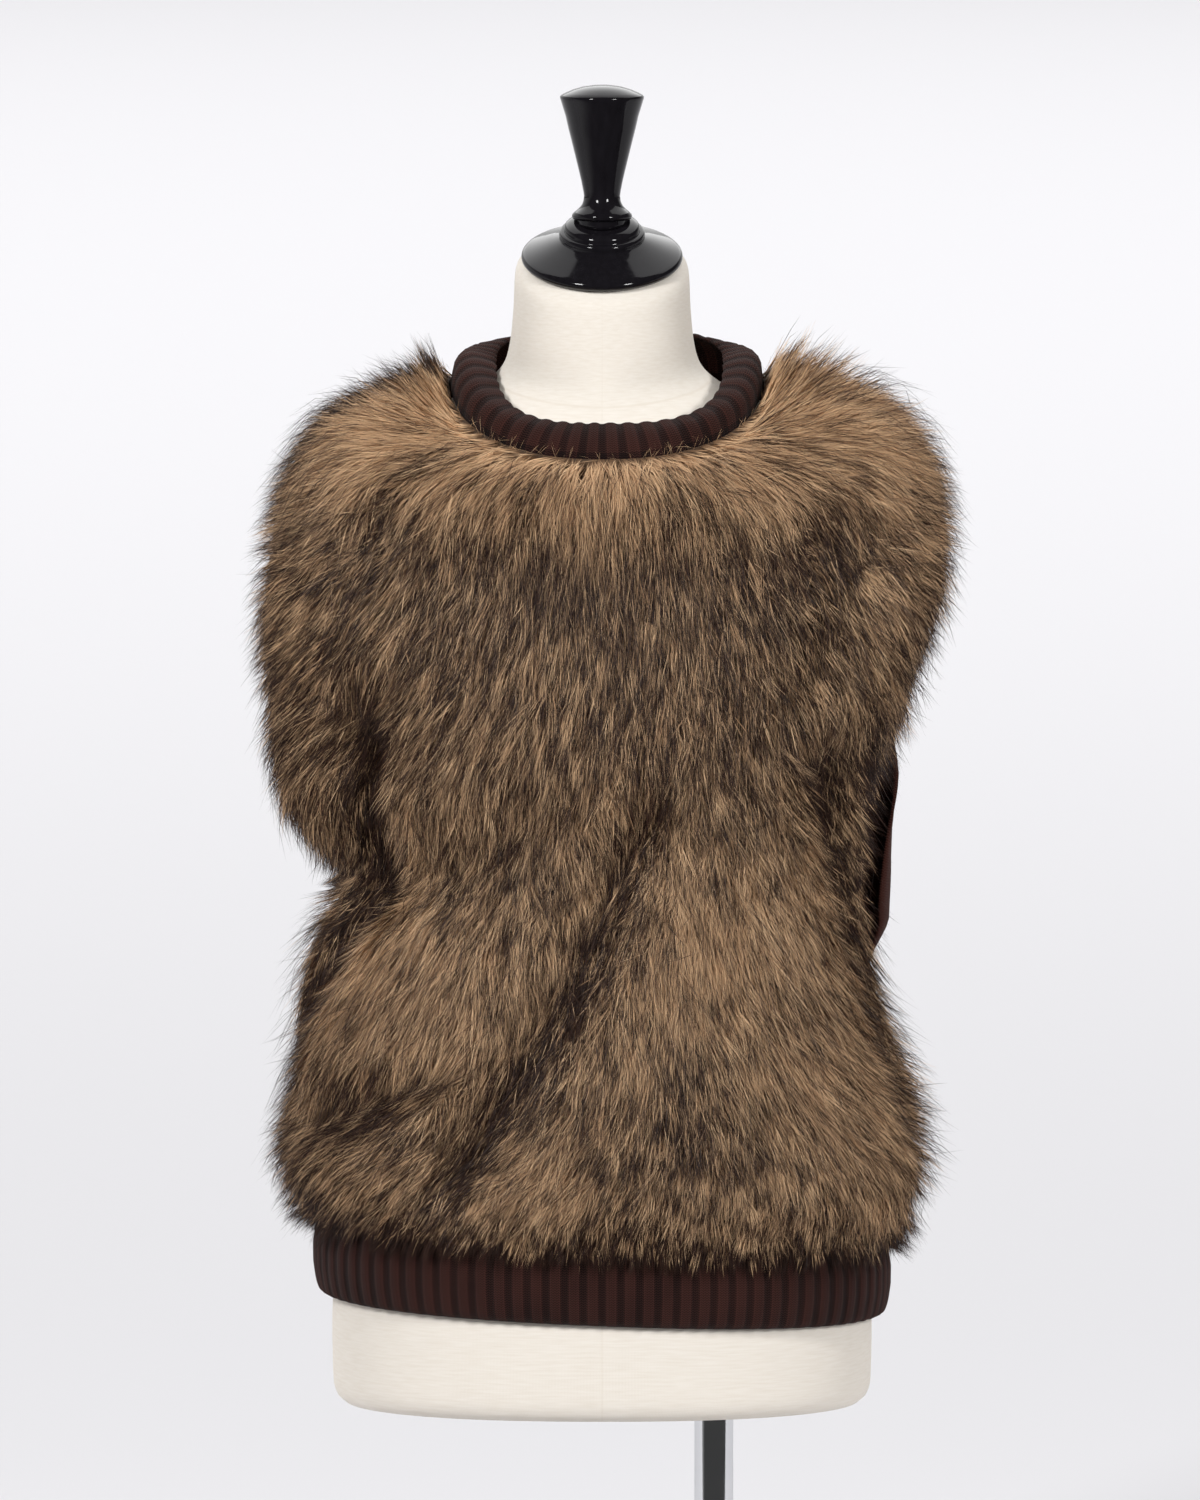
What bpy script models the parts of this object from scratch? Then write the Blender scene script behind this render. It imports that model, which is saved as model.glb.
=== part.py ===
"""Fur-fronted pullover vest on a limbless dress form with a pole stand.

Metres, +Z up. The front of the vest faces -Y and the origin is the middle of the base's underside.
Heights in the tables are above the underside of the form. Angles run round the body in degrees:
0 is the middle of the front, +90 the side at +X, 180 the middle of the back.
"""

import math
from typing import NamedTuple

import bmesh
import bpy
import numpy as np

# Stand
BASE_RADIUS = 0.160
BASE_THICK = 0.012
BASE_EDGE = 0.003
POLE_RADIUS = 0.0128
POLE_X = 0.073  # the pole enters the form off its middle
POLE_LENGTH = 0.248
SEAT_GAP = 0.0003  # between pieces that touch

# Dress form
FORM_FOOT = BASE_THICK + POLE_LENGTH + 2 * SEAT_GAP  # height of the form's underside
NECK_TILT = math.radians(19.0)  # the neck's cut slopes down to the front
NECK_TILT_FROM = 0.690  # height where the neck's sections start to tilt
NECK_TOP = 0.7431
NECK_AXIS_Y = -0.0085
KNOB_AXIS_Y = -0.0180
FORM_SIDES = 40
CAP_SIDES = 36
KNOB_SIDES = 28
POLE_SIDES = 32
BASE_SIDES = 56

# Vest
ROUNDNESS = 2.3  # power of the sections, 2 is an ellipse
RING_DROOP = 1.15  # power of a ring's fall from its sides to its front, 1 is a flat tilt
PILE = 0.018  # standing height of the fur
PILE_ON_SHOULDER = 0.030
PILE_AT_NECK = 0.0022
PILE_AT_SIDE = 0.014
PILE_AT_BACK = 0.006  # where the front meets the back behind the shoulders
PILE_AT_HEM = 0.003
PILE_EDGE_TAPER = 0.030  # from the side edges inwards
PILE_HEM_TAPER = 0.9  # in rows of the vest's table, as the next three
PILE_NECK_TAPER = 0.8
PILE_SHOULDER_TAPER = 0.4
SHOULDER_ROWS = (0.72, 2.52)  # below the neckline: the deep fur's full stretch, and its end
SHOULDER_ANGLES = (45, 75)  # where the front turns into the shoulders
HEM_SLOPE_ROWS = 3  # the hem's slope has gone this far up
KNIT_WALL = 0.0022
SEAM_GAP = 0.0004
HEM_SLOPE = -0.040  # the hem hangs lower at +X
ARC_PER_DEGREE = 0.0027  # of the chest, spaces the folds
PANEL_ROWS = 26  # the same on both panels, so that their sewn edges run side by side
FRONT_COLUMNS = 36
BACK_COLUMNS = 22

# Ribs
HEM_RIBS = 84
HEM_RIB_RISE = 0.0018
NECK_RIBS = 46
NECK_RIB_RISE = 0.0014
NECK_WALL = 0.0032
NECK_EDGE_ROUNDNESS = 3.0  # the free edge is squarer than the seam
STEPS_PER_RIB = 3  # groove, crest, crest


class FormRing(NamedTuple):
    """A level section of the dress form. The lower its power, the more it comes to a point at the sides."""

    z: float
    half: float
    front: float
    back: float
    power: float = ROUNDNESS


class VestRing(NamedTuple):
    """A section round the cloth's inside, from hem to neckline, and where the panels' edges cross it."""

    z_front: float
    z_side: float
    z_back: float
    half_left: float
    half_right: float
    front: float
    back: float
    front_left: float
    front_right: float
    back_left: float
    back_right: float


class Fold(NamedTuple):
    """A soft trough or ridge between two places, each an angle and a height on the middle front."""

    angle_a: float
    height_a: float
    angle_b: float
    height_b: float
    rise: float
    width: float


class BandRow(NamedTuple):
    """A row of the hem band: how far its inside and its rib crests stand off the form."""

    z: float
    inside: float
    crest: float


class CollarRow(NamedTuple):
    """A row of the neck band: its place from seam to free edge, and how far it bows out, more at the sides."""

    across: float
    bow: float
    side_bow: float
    rib: float


FORM = (
    FormRing(0.000, 0.1680, 0.1080, 0.1060),
    FormRing(0.006, 0.1735, 0.1150, 0.1130),
    FormRing(0.020, 0.1755, 0.1180, 0.1160),
    FormRing(0.070, 0.1755, 0.1180, 0.1160),
    FormRing(0.130, 0.1700, 0.1130, 0.1110),
    FormRing(0.210, 0.1460, 0.1000, 0.0980),
    FormRing(0.290, 0.1260, 0.0920, 0.0860),
    FormRing(0.370, 0.1360, 0.1020, 0.0880),
    FormRing(0.450, 0.1500, 0.1120, 0.0920),
    FormRing(0.520, 0.1580, 0.1080, 0.0940),
    FormRing(0.570, 0.1660, 0.0980, 0.0920),
    FormRing(0.605, 0.1720, 0.0880, 0.0860),
    FormRing(0.622, 0.1680, 0.0790, 0.0840, 2.0),
    FormRing(0.635, 0.1530, 0.0715, 0.0780, 1.8),
    FormRing(0.6455, 0.1245, 0.0660, 0.0720, 1.6),
    FormRing(0.656, 0.0935, 0.0620, 0.0660, 1.55),
    FormRing(0.666, 0.0755, 0.0600, 0.0600, 1.6),
    FormRing(0.676, 0.0645, 0.0590, 0.0540, 1.9),
    FormRing(0.690, 0.0598, 0.0585, 0.0475, 2.2),
    FormRing(0.712, 0.0574, 0.0580, 0.0430),
    FormRing(0.7345, 0.0560, 0.0570, 0.0400),
    FormRing(NECK_TOP, 0.0510, 0.0520, 0.0350),
)

VEST = (
    VestRing(0.121, 0.121, 0.121, 0.1845, 0.1845, 0.1275, 0.1255, 90, 90, 90, 90),
    VestRing(0.160, 0.160, 0.158, 0.1930, 0.1970, 0.1360, 0.1290, 90, 90, 90, 90),
    VestRing(0.232, 0.232, 0.228, 0.1910, 0.1775, 0.1380, 0.1240, 90, 88, 90, 88),
    VestRing(0.300, 0.296, 0.292, 0.1770, 0.1660, 0.1330, 0.1150, 89, 82, 89, 82),
    VestRing(0.352, 0.342, 0.338, 0.1590, 0.1660, 0.1300, 0.1110, 86, 77, 88, 80),
    VestRing(0.415, 0.398, 0.396, 0.1930, 0.1700, 0.1330, 0.1130, 80, 75, 99, 85),
    VestRing(0.478, 0.470, 0.468, 0.2030, 0.1920, 0.1360, 0.1170, 77, 78, 102, 98),
    VestRing(0.536, 0.552, 0.542, 0.2050, 0.2130, 0.1340, 0.1180, 80, 81, 101, 101),
    VestRing(0.580, 0.626, 0.612, 0.1820, 0.1930, 0.1260, 0.1080, 97, 97, 97, 97),
    VestRing(0.606, 0.652, 0.644, 0.1420, 0.1475, 0.1130, 0.0930, 103, 103, 103, 103),
    VestRing(0.622, 0.664, 0.668, 0.0990, 0.1050, 0.0980, 0.0760, 112, 112, 112, 112),
)
NECKLINE = len(VEST) - 1  # the top row

FOLDS = (
    Fold(-47, 0.455, -54, 0.345, -0.024, 0.022),  # under the left wing
    Fold(-54, 0.345, -80, 0.225, -0.014, 0.020),  # down the left side
    Fold(48, 0.430, 66, 0.300, -0.018, 0.020),  # under the right wing
    Fold(66, 0.300, 82, 0.150, -0.014, 0.018),  # down the right side
    Fold(9, 0.385, -26, 0.165, -0.014, 0.024),  # long slant over the belly
    Fold(-60, 0.180, -33, 0.215, -0.010, 0.020),  # low on the left
    Fold(-30, 0.365, -6, 0.400, -0.006, 0.026),  # under the left bust
    Fold(46, 0.545, 37, 0.480, -0.009, 0.018),  # right chest
    Fold(-41, 0.560, -47, 0.500, -0.008, 0.018),  # left chest
    Fold(-72, 0.500, -70, 0.420, 0.008, 0.030),  # left wing's swell
    Fold(128, 0.420, 150, 0.300, -0.010, 0.024),  # right shoulder blade to waist
    Fold(-126, 0.430, -148, 0.300, -0.010, 0.024),  # left shoulder blade to waist
    Fold(-170, 0.300, -150, 0.180, -0.008, 0.024),  # soft slant low on the back
    Fold(160, 0.240, 130, 0.165, -0.008, 0.022),  # low on the right
    Fold(-108, 0.250, -112, 0.160, -0.007, 0.018),  # by the left seam
)
ARMHOLE_FLARE = Fold(84, 0.430, 86, 0.325, 0.020, 0.030)  # the back's right edge stands out

HEM = (
    BandRow(0.064, 0.0007, 0.0052),
    BandRow(0.070, 0.0046, 0.0106),
    BandRow(0.096, 0.0072, 0.0130),
    BandRow(0.132, 0.0018, 0.0057),
)

HIP_RING = 3  # the form's section that the hem band goes round

NECK_SEAM = VestRing(0.6228, 0.6645, 0.6687, 0.0980, 0.1040, 0.0973, 0.0753, 0, 0, 0, 0)
NECK_EDGE = VestRing(0.6450, 0.6800, 0.6950, 0.0690, 0.0790, 0.0790, 0.0600, 0, 0, 0, 0)
COLLAR = (
    CollarRow(0.00, 0.0000, 0.0000, 0.6),
    CollarRow(0.30, 0.0024, 0.0080, 1.0),
    CollarRow(0.65, 0.0030, 0.0080, 1.0),
    CollarRow(1.00, 0.0004, 0.0000, 0.5),
)


def clear_scene():
    for obj in list(bpy.data.objects):
        bpy.data.objects.remove(obj, do_unlink=True)


def new_collection(name):
    collection = bpy.data.collections.new(name)
    bpy.context.scene.collection.children.link(collection)
    return collection


def finish_material(name, colour, roughness, metallic=0.0):
    material = bpy.data.materials.new(name)
    material.use_nodes = True
    shader = material.node_tree.nodes["Principled BSDF"]
    shader.inputs["Base Color"].default_value = (*colour, 1.0)
    shader.inputs["Roughness"].default_value = roughness
    shader.inputs["Metallic"].default_value = metallic
    return material


def add_object(name, mesh, material, collection):
    mesh.materials.append(material)
    mesh.shade_smooth()
    mesh.set_sharp_from_angle(angle=math.radians(40))
    obj = bpy.data.objects.new(name, mesh)
    collection.objects.link(obj)
    return obj


def between_rows(table, t):
    """A row of the table at place t, a whole number being a row itself, on a Catmull-Rom curve."""
    rows = np.array(table, float)
    rows = np.vstack([2 * rows[0] - rows[1], rows, 2 * rows[-1] - rows[-2]])
    i = min(int(t), len(table) - 2)
    f = t - i
    a, b, c, d = rows[i : i + 4]
    return b + 0.5 * f * (c - a + f * (2 * a - 5 * b + 4 * c - d + f * (3 * (b - c) + d - a)))


def section_point(angle, half, depth, power=ROUNDNESS):
    """A point at this angle on a rounded section, as (x, y)."""
    s, c = math.sin(angle), math.cos(angle)
    reach = (abs(s) ** power + abs(c) ** power) ** (-1 / power)
    return half * reach * s, -depth * reach * c


def ring_point(ring, angle, power=ROUNDNESS):
    """A point on a ring whose front, sides and back may be at unlike heights."""
    half = ring.half_right if math.sin(angle) > 0 else ring.half_left
    depth, z_end = (ring.front, ring.z_front) if math.cos(angle) > 0 else (ring.back, ring.z_back)
    x, y = section_point(angle, half, depth, power)
    return np.array([x, y, ring.z_side + (z_end - ring.z_side) * abs(y / depth) ** RING_DROOP])


def vest_point(t, angle):
    """The cloth's inside before its folds, t running from 0 at the hem up the rows of the table."""
    point = ring_point(VestRing(*between_rows(VEST, t)), angle)
    point[2] += HEM_SLOPE * point[0] * max(0.0, 1 - t / HEM_SLOPE_ROWS)
    return point


def outward(surface, t, angle, t_most):
    """The unit normal of a surface of rows and angles, pointing out of the body."""
    step = 1e-3
    up = surface(min(t + step, t_most), angle) - surface(max(t - step, 0.0), angle)
    along = surface(t, angle + step) - surface(t, angle - step)
    normal = np.cross(along, up)
    return normal / np.linalg.norm(normal)


def fold_height(folds, angle, height):
    """How far the folds lift the cloth at a place: the deepest trough there and the highest ridge."""
    place = np.array([math.degrees(angle) * ARC_PER_DEGREE, height])
    trough = ridge = 0.0
    for fold in folds:
        start = np.array([fold.angle_a * ARC_PER_DEGREE, fold.height_a])
        run = np.array([fold.angle_b * ARC_PER_DEGREE, fold.height_b]) - start
        along = np.clip(np.dot(place - start, run) / np.dot(run, run), 0, 1)
        away = np.linalg.norm(place - start - along * run)
        lift = fold.rise * math.exp(-((away / fold.width) ** 2))
        trough, ridge = min(trough, lift), max(ridge, lift)
    return trough + ridge


def wall(name, outer, inner, closed):
    """A closed wall between two grids of points (rows, columns, xyz). Closed joins last column to first."""
    rows, columns = outer.shape[:2]
    points = np.concatenate([outer.reshape(-1, 3), inner.reshape(-1, 3)])
    inside = rows * columns

    def index(row, column):
        return row * columns + column % columns

    faces = []
    spans = columns if closed else columns - 1
    for column in range(spans):
        for row in range(rows - 1):
            a, b = index(row, column), index(row, column + 1)
            c, d = index(row + 1, column + 1), index(row + 1, column)
            faces.append((a, b, c, d))
            faces.append((a + inside, d + inside, c + inside, b + inside))
        for row in (0, rows - 1):
            a, b = index(row, column), index(row, column + 1)
            faces.append((a, a + inside, b + inside, b))
    if not closed:
        for row in range(rows - 1):
            for column in (0, columns - 1):
                a, b = index(row, column), index(row + 1, column)
                faces.append((a, b, b + inside, a + inside))
    mesh = bpy.data.meshes.new(name)
    mesh.from_pydata(points.tolist(), [], faces)
    point_out(mesh)
    return mesh


def point_out(mesh):
    bm = bmesh.new()
    bm.from_mesh(mesh)
    bmesh.ops.recalc_face_normals(bm, faces=bm.faces)
    bm.to_mesh(mesh)
    bm.free()


def lifted(points):
    """Moves points given above the form's underside to their place above the floor."""
    return np.asarray(points) + np.array([0.0, 0.0, FORM_FOOT])


def smooth_between(value, low, high):
    """0 up to low, 1 from high on, and an even slope between."""
    share = min(max((value - low) / (high - low), 0.0), 1.0)
    return share * share * (3 - 2 * share)


def front_edges(t):
    ring = VestRing(*between_rows(VEST, t))
    return -math.radians(ring.front_left), math.radians(ring.front_right)


def back_edges(t):
    """From the right edge round the back to the left one, just clear of the front where they are sewn."""
    ring = VestRing(*between_rows(VEST, t))
    right = max(ring.back_right, ring.front_right + math.degrees(SEAM_GAP / ring.half_right))
    left = max(ring.back_left, ring.front_left + math.degrees(SEAM_GAP / ring.half_left))
    return math.radians(right), math.radians(360 - left)


def pile_height(t, angle, to_side):
    """The fur's height over the cloth: low at the front neckline and edges, deep on the shoulders."""
    to_neck = NECKLINE - t
    over = smooth_between(math.degrees(abs(angle)), *SHOULDER_ANGLES)
    shoulder = over * (1 - smooth_between(to_neck, *SHOULDER_ROWS))
    neck_taper = PILE_NECK_TAPER + (PILE_SHOULDER_TAPER - PILE_NECK_TAPER) * over
    edge = PILE_AT_SIDE + (PILE_AT_BACK - PILE_AT_SIDE) * shoulder
    body = PILE + (PILE_ON_SHOULDER - PILE) * shoulder
    height = edge + (body - edge) * smooth_between(to_side, 0, PILE_EDGE_TAPER)
    height = PILE_AT_HEM + (height - PILE_AT_HEM) * smooth_between(t, 0, PILE_HEM_TAPER)
    return PILE_AT_NECK + (height - PILE_AT_NECK) * smooth_between(to_neck, 0, neck_taper)


def front_panel():
    outer, inner = [], []
    for t in np.linspace(0, NECKLINE, PANEL_ROWS + 1):
        height = between_rows(VEST, t)[0]
        left, right = front_edges(t)
        for angle in np.linspace(left, right, FRONT_COLUMNS + 1):
            to_side = min(angle - left, right - angle) * math.degrees(ARC_PER_DEGREE)
            out = outward(vest_point, t, angle, NECKLINE)
            base = vest_point(t, angle) + out * fold_height(FOLDS, angle, height)
            inner.append(base)
            outer.append(base + out * pile_height(t, angle, to_side))
    shape = (PANEL_ROWS + 1, FRONT_COLUMNS + 1, 3)
    return wall("front_panel", lifted(outer).reshape(shape), lifted(inner).reshape(shape), False)


def back_panel():
    outer, inner = [], []
    for t in np.linspace(0, NECKLINE, PANEL_ROWS + 1):
        height = between_rows(VEST, t)[0]
        for angle in np.linspace(*back_edges(t), BACK_COLUMNS + 1):
            signed = angle if angle < math.pi else angle - 2 * math.pi
            out = outward(vest_point, t, angle, NECKLINE)
            base = vest_point(t, angle) + out * fold_height((*FOLDS, ARMHOLE_FLARE), signed, height)
            inner.append(base)
            outer.append(base + out * KNIT_WALL)
    shape = (PANEL_ROWS + 1, BACK_COLUMNS + 1, 3)
    return wall("back_panel", lifted(outer).reshape(shape), lifted(inner).reshape(shape), False)


def hip_point(angle, off):
    """A point that stands off the section of the form's hips, as (x, y)."""
    form = FORM[HIP_RING]
    depth = form.front if math.cos(angle) > 0 else form.back
    return section_point(angle, form.half + off, depth + off)


def even_hip_angles(count):
    """Angles that part the hips' section into equal lengths, so that the ribs are evenly wide."""
    fine = np.linspace(0, 2 * math.pi, 2001)
    steps = np.diff([hip_point(angle, 0.0) for angle in fine], axis=0)
    lengths = np.concatenate([[0.0], np.cumsum(np.linalg.norm(steps, axis=1))])
    return np.interp(np.linspace(0, lengths[-1], count, endpoint=False), lengths, fine)


def hem_rib():
    """The hem band, its rows standing off the form's hips."""
    outer, inner = [], []
    for row in HEM:
        for step, angle in enumerate(even_hip_angles(HEM_RIBS * STEPS_PER_RIB)):
            groove = HEM_RIB_RISE if step % STEPS_PER_RIB == 0 else 0.0
            for points, off in ((outer, row.crest - groove), (inner, row.inside)):
                x, y = hip_point(angle, off)
                points.append((x, y, row.z + HEM_SLOPE * x))
    shape = (len(HEM), HEM_RIBS * STEPS_PER_RIB, 3)
    return wall("hem_rib", lifted(outer).reshape(shape), lifted(inner).reshape(shape), True)


def collar_point(across, angle):
    edge = ring_point(NECK_EDGE, angle, NECK_EDGE_ROUNDNESS)
    return (1 - across) * ring_point(NECK_SEAM, angle) + across * edge


def neck_rib():
    outer, inner = [], []
    for row in COLLAR:
        for step in range(NECK_RIBS * STEPS_PER_RIB):
            angle = 2 * math.pi * step / (NECK_RIBS * STEPS_PER_RIB)
            out = outward(collar_point, row.across, angle, 1.0)
            crest = 0.0 if step % STEPS_PER_RIB == 0 else NECK_RIB_RISE * row.rib
            bow = row.bow + row.side_bow * math.sin(angle) ** 2
            base = collar_point(row.across, angle) + out * bow
            outer.append(base + out * crest)
            inner.append(base - out * NECK_WALL)
    shape = (len(COLLAR), NECK_RIBS * STEPS_PER_RIB, 3)
    return wall("neck_rib", lifted(outer).reshape(shape), lifted(inner).reshape(shape), True)


def form_torso():
    """Level sections up to the neck, whose last ones tilt to the slope of its cut."""
    rings = []
    for ring in FORM:
        tilt = math.tan(NECK_TILT) * smooth_between(ring.z, NECK_TILT_FROM, NECK_TOP)
        for angle in np.linspace(0, 2 * math.pi, FORM_SIDES, endpoint=False):
            depth = ring.front if math.cos(angle) > 0 else ring.back
            x, y = section_point(angle, ring.half, depth, ring.power)
            rings.append((x, y, ring.z + tilt * (y - NECK_AXIS_Y)))
    points = lifted(rings)
    faces = [tuple(range(FORM_SIDES)), tuple(range(len(points) - FORM_SIDES, len(points)))]
    for start in range(0, len(points) - FORM_SIDES, FORM_SIDES):
        for side in range(FORM_SIDES):
            a, b = start + side, start + (side + 1) % FORM_SIDES
            faces.append((a, b, b + FORM_SIDES, a + FORM_SIDES))
    mesh = bpy.data.meshes.new("form_torso")
    mesh.from_pydata(points.tolist(), [], faces)
    point_out(mesh)
    return mesh


def turned(name, profile, material, collection, steps):
    """A turned solid from (radius, height) points that run down its outer side from axis to axis."""
    mesh = bpy.data.meshes.new(name)
    points = [(radius, 0.0, height) for radius, height in profile]
    mesh.from_pydata(points, [(i, i + 1) for i in range(len(points) - 1)], [])
    obj = add_object(name, mesh, material, collection)
    screw = obj.modifiers.new("Turn", "SCREW")
    screw.steps = screw.render_steps = steps
    screw.use_merge_vertices = True
    screw.merge_threshold = 0.00005
    return obj


def cap_profile(grow):
    """The neck cap above its seat: a rolled rim, a shallow cone, a raised ring and the knob's flange."""
    return [
        (0.0, 0.0292 + grow),
        (0.0172 + grow, 0.0292 + grow),
        (0.0232 + grow, 0.0270 + grow),
        (0.0246 + grow, 0.0247 + grow),
        (0.0246 + grow, 0.0228 + grow),
        (0.0266 + grow, 0.0226 + grow),
        (0.0278 + grow, 0.0210 + grow),
        (0.0272 + grow, 0.0175 + grow),
        (0.0480 + grow, 0.0084 + grow),
        (0.0512 + grow, 0.0070 + grow),
        (0.0524 + grow, 0.0045),
        (0.0512 + grow, 0.0015 - grow),
        (0.0480, 0.0004 - grow),
        (0.0, 0.0004 - grow),
    ]


def place_on_neck(obj):
    obj.location = (0.0, NECK_AXIS_Y, FORM_FOOT + NECK_TOP)
    obj.rotation_euler = (NECK_TILT, 0.0, 0.0)


def knob_profile():
    """The turned knob: domed top, long taper, bead and stem. The stem is cut to the cap's slope."""
    return [
        (0.0, 0.8590),
        (0.0120, 0.8579),
        (0.0205, 0.8552),
        (0.0260, 0.8526),
        (0.0273, 0.8513),
        (0.0270, 0.8496),
        (0.0236, 0.8386),
        (0.0198, 0.8229),
        (0.0146, 0.8020),
        (0.0122, 0.7905),
        (0.0117, 0.7872),
        (0.0121, 0.7836),
        (0.0140, 0.7802),
        (0.0178, 0.7768),
        (0.0194, 0.7752),
        (0.0196, 0.7736),
        (0.0186, 0.7722),
        (0.0160, 0.7714),
        (0.0157, 0.7580),
        (0.0, 0.7580),
    ]


def neck_fittings(material, parts, cutters):
    cap = turned("form_neck_cap", cap_profile(0.0), material, parts, CAP_SIDES)
    place_on_neck(cap)
    knob = turned("form_knob", knob_profile(), material, parts, KNOB_SIDES)
    knob.location = (0.0, KNOB_AXIS_Y, FORM_FOOT)
    slope = turned("knob_stem_cutter", cap_profile(SEAT_GAP), material, cutters, CAP_SIDES)
    place_on_neck(slope)
    slope.hide_render = True
    slope.display_type = "WIRE"
    cut = knob.modifiers.new("Stem on the cap", "BOOLEAN")
    cut.operation = "DIFFERENCE"
    cut.object = slope


def stand(material, parts):
    base_profile = [
        (0.0, BASE_THICK),
        (BASE_RADIUS - BASE_EDGE, BASE_THICK),
        (BASE_RADIUS, BASE_THICK - BASE_EDGE),
        (BASE_RADIUS, 0.0),
        (0.0, 0.0),
    ]
    turned("stand_base", base_profile, material, parts, BASE_SIDES)
    pole_profile = [(0.0, POLE_LENGTH), (POLE_RADIUS, POLE_LENGTH), (POLE_RADIUS, 0.0), (0.0, 0.0)]
    pole = turned("stand_pole", pole_profile, material, parts, POLE_SIDES)
    pole.location = (POLE_X, 0.0, BASE_THICK + SEAT_GAP)


def main():
    clear_scene()
    parts = new_collection("fur_vest_on_dress_form")
    cutters = new_collection("cutters")
    fur = finish_material("Fur", (0.19, 0.115, 0.060), 0.85)
    knit = finish_material("Brown knit", (0.038, 0.016, 0.012), 0.90)
    rib = finish_material("Brown rib", (0.030, 0.014, 0.011), 0.90)
    linen = finish_material("Cream cloth", (0.83, 0.78, 0.69), 0.85)
    lacquer = finish_material("Black lacquer", (0.006, 0.006, 0.007), 0.12)
    chrome = finish_material("Chrome", (0.80, 0.80, 0.82), 0.08, 1.0)
    add_object("front_panel", front_panel(), fur, parts)
    add_object("back_panel", back_panel(), knit, parts)
    add_object("neck_rib", neck_rib(), rib, parts)
    add_object("hem_rib", hem_rib(), rib, parts)
    add_object("form_torso", form_torso(), linen, parts)
    neck_fittings(lacquer, parts, cutters)
    stand(chrome, parts)


main()
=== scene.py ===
import math

import bpy
import numpy as np
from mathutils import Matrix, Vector


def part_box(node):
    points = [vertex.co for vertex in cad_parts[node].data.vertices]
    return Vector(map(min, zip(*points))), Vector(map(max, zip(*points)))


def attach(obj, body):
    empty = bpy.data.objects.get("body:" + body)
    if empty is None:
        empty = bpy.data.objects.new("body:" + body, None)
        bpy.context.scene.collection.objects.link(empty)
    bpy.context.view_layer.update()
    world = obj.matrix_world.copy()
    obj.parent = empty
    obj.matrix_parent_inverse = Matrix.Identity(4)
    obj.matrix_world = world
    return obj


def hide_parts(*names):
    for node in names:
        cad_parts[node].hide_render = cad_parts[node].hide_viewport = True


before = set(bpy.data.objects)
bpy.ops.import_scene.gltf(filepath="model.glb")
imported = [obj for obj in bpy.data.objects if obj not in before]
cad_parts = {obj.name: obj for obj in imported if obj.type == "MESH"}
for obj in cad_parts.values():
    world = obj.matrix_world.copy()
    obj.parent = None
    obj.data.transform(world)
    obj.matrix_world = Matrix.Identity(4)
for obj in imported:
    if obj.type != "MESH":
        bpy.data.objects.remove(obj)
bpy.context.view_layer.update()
print("frame loaded")

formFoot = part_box("form_torso")[0].z  # the form's underside, which the heights below start from


def linear(hexColour):
    channels = [int(hexColour[i:i + 2], 16) / 255 for i in (1, 3, 5)]
    return (*(c / 12.92 if c <= 0.04045 else ((c + 0.055) / 1.055) ** 2.4 for c in channels), 1.0)


def setNode(material, node, settings=(), links=()):
    for name, value in dict(settings).items():
        if isinstance(name, str) and hasattr(node, name):
            setattr(node, name, value)
        else:
            node.inputs[name].default_value = value
    for name, source in dict(links).items():  # a node stands for its first output
        output = source if isinstance(source, bpy.types.NodeSocket) else source.outputs[0]
        material.node_tree.links.new(output, node.inputs[name])
    return node


def addNode(material, kind, settings=(), links=()):
    return setNode(material, material.node_tree.nodes.new(kind), settings, links)


def newMaterial(name):
    material = bpy.data.materials.new(name)
    material.use_nodes = True
    return material, material.node_tree.nodes["Principled BSDF"]


def finishPiece(piece, material):
    piece.data.materials.clear()
    piece.data.materials.append(material)
    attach(piece, "root")


# Camera: a long lens, a little above the chest and looking slightly down.
view = {
    "aim": (-0.0013, 0.0, 0.6856),
    "away": 10.0,
    "down": math.radians(6),
    "heightSeen": 0.975,  # at the aim, in metres
    "sensor": 36,
}
bpy.ops.object.camera_add(
    location=(
        view["aim"][0],
        view["aim"][1] - view["away"] * math.cos(view["down"]),
        view["aim"][2] + view["away"] * math.sin(view["down"]),
    ),
    rotation=(math.pi / 2 - view["down"], 0, 0),
)
camera = bpy.context.object
camera.data.sensor_fit = "VERTICAL"
camera.data.sensor_height = view["sensor"]
camera.data.lens = view["sensor"] * view["away"] / view["heightSeen"]
camera.data.clip_end = 200
bpy.context.scene.camera = camera

# Studio: a white room, dark above and behind the camera, two soft lights in front and one for the floor behind.
studio = {
    "room": "#fbfbfb",
    "roomLight": 1.0,
    "darkEnd": (0.30, -0.75, 0.59),  # the way to the dark end of the room
    "darkLight": 0.06,
    "darkFrom": (-0.45, 0.10),  # where the dark starts and is full, as a cosine
    "floor": "#e6e5e8",
    "floorSize": 160,
    "floorFront": -0.45,  # the white floor starts here, just in front of the stand
    # place, what it shines on, watts, width, height
    "lights": [
        ((-2.0, -3.4, 2.6), (0, 0, 0.7), 126, 0.7, 1.1),
        ((2.2, -3.2, 2.0), (0, 0, 0.7), 91, 0.6, 1.0),
        ((0.0, 14.0, 9.0), (0, 14.0, 0.0), 2400, 18.0, 26.0),
    ],
}
bpy.context.scene.view_settings.view_transform = "Standard"
room = bpy.data.worlds.new("White room")
bpy.context.scene.world = room
room.use_nodes = True
roomCoords = addNode(room, "ShaderNodeTexCoord")
roomFacing = addNode(room, "ShaderNodeVectorMath", {"operation": "DOT_PRODUCT", 1: studio["darkEnd"]},
                     {0: roomCoords.outputs["Generated"]})
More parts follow.
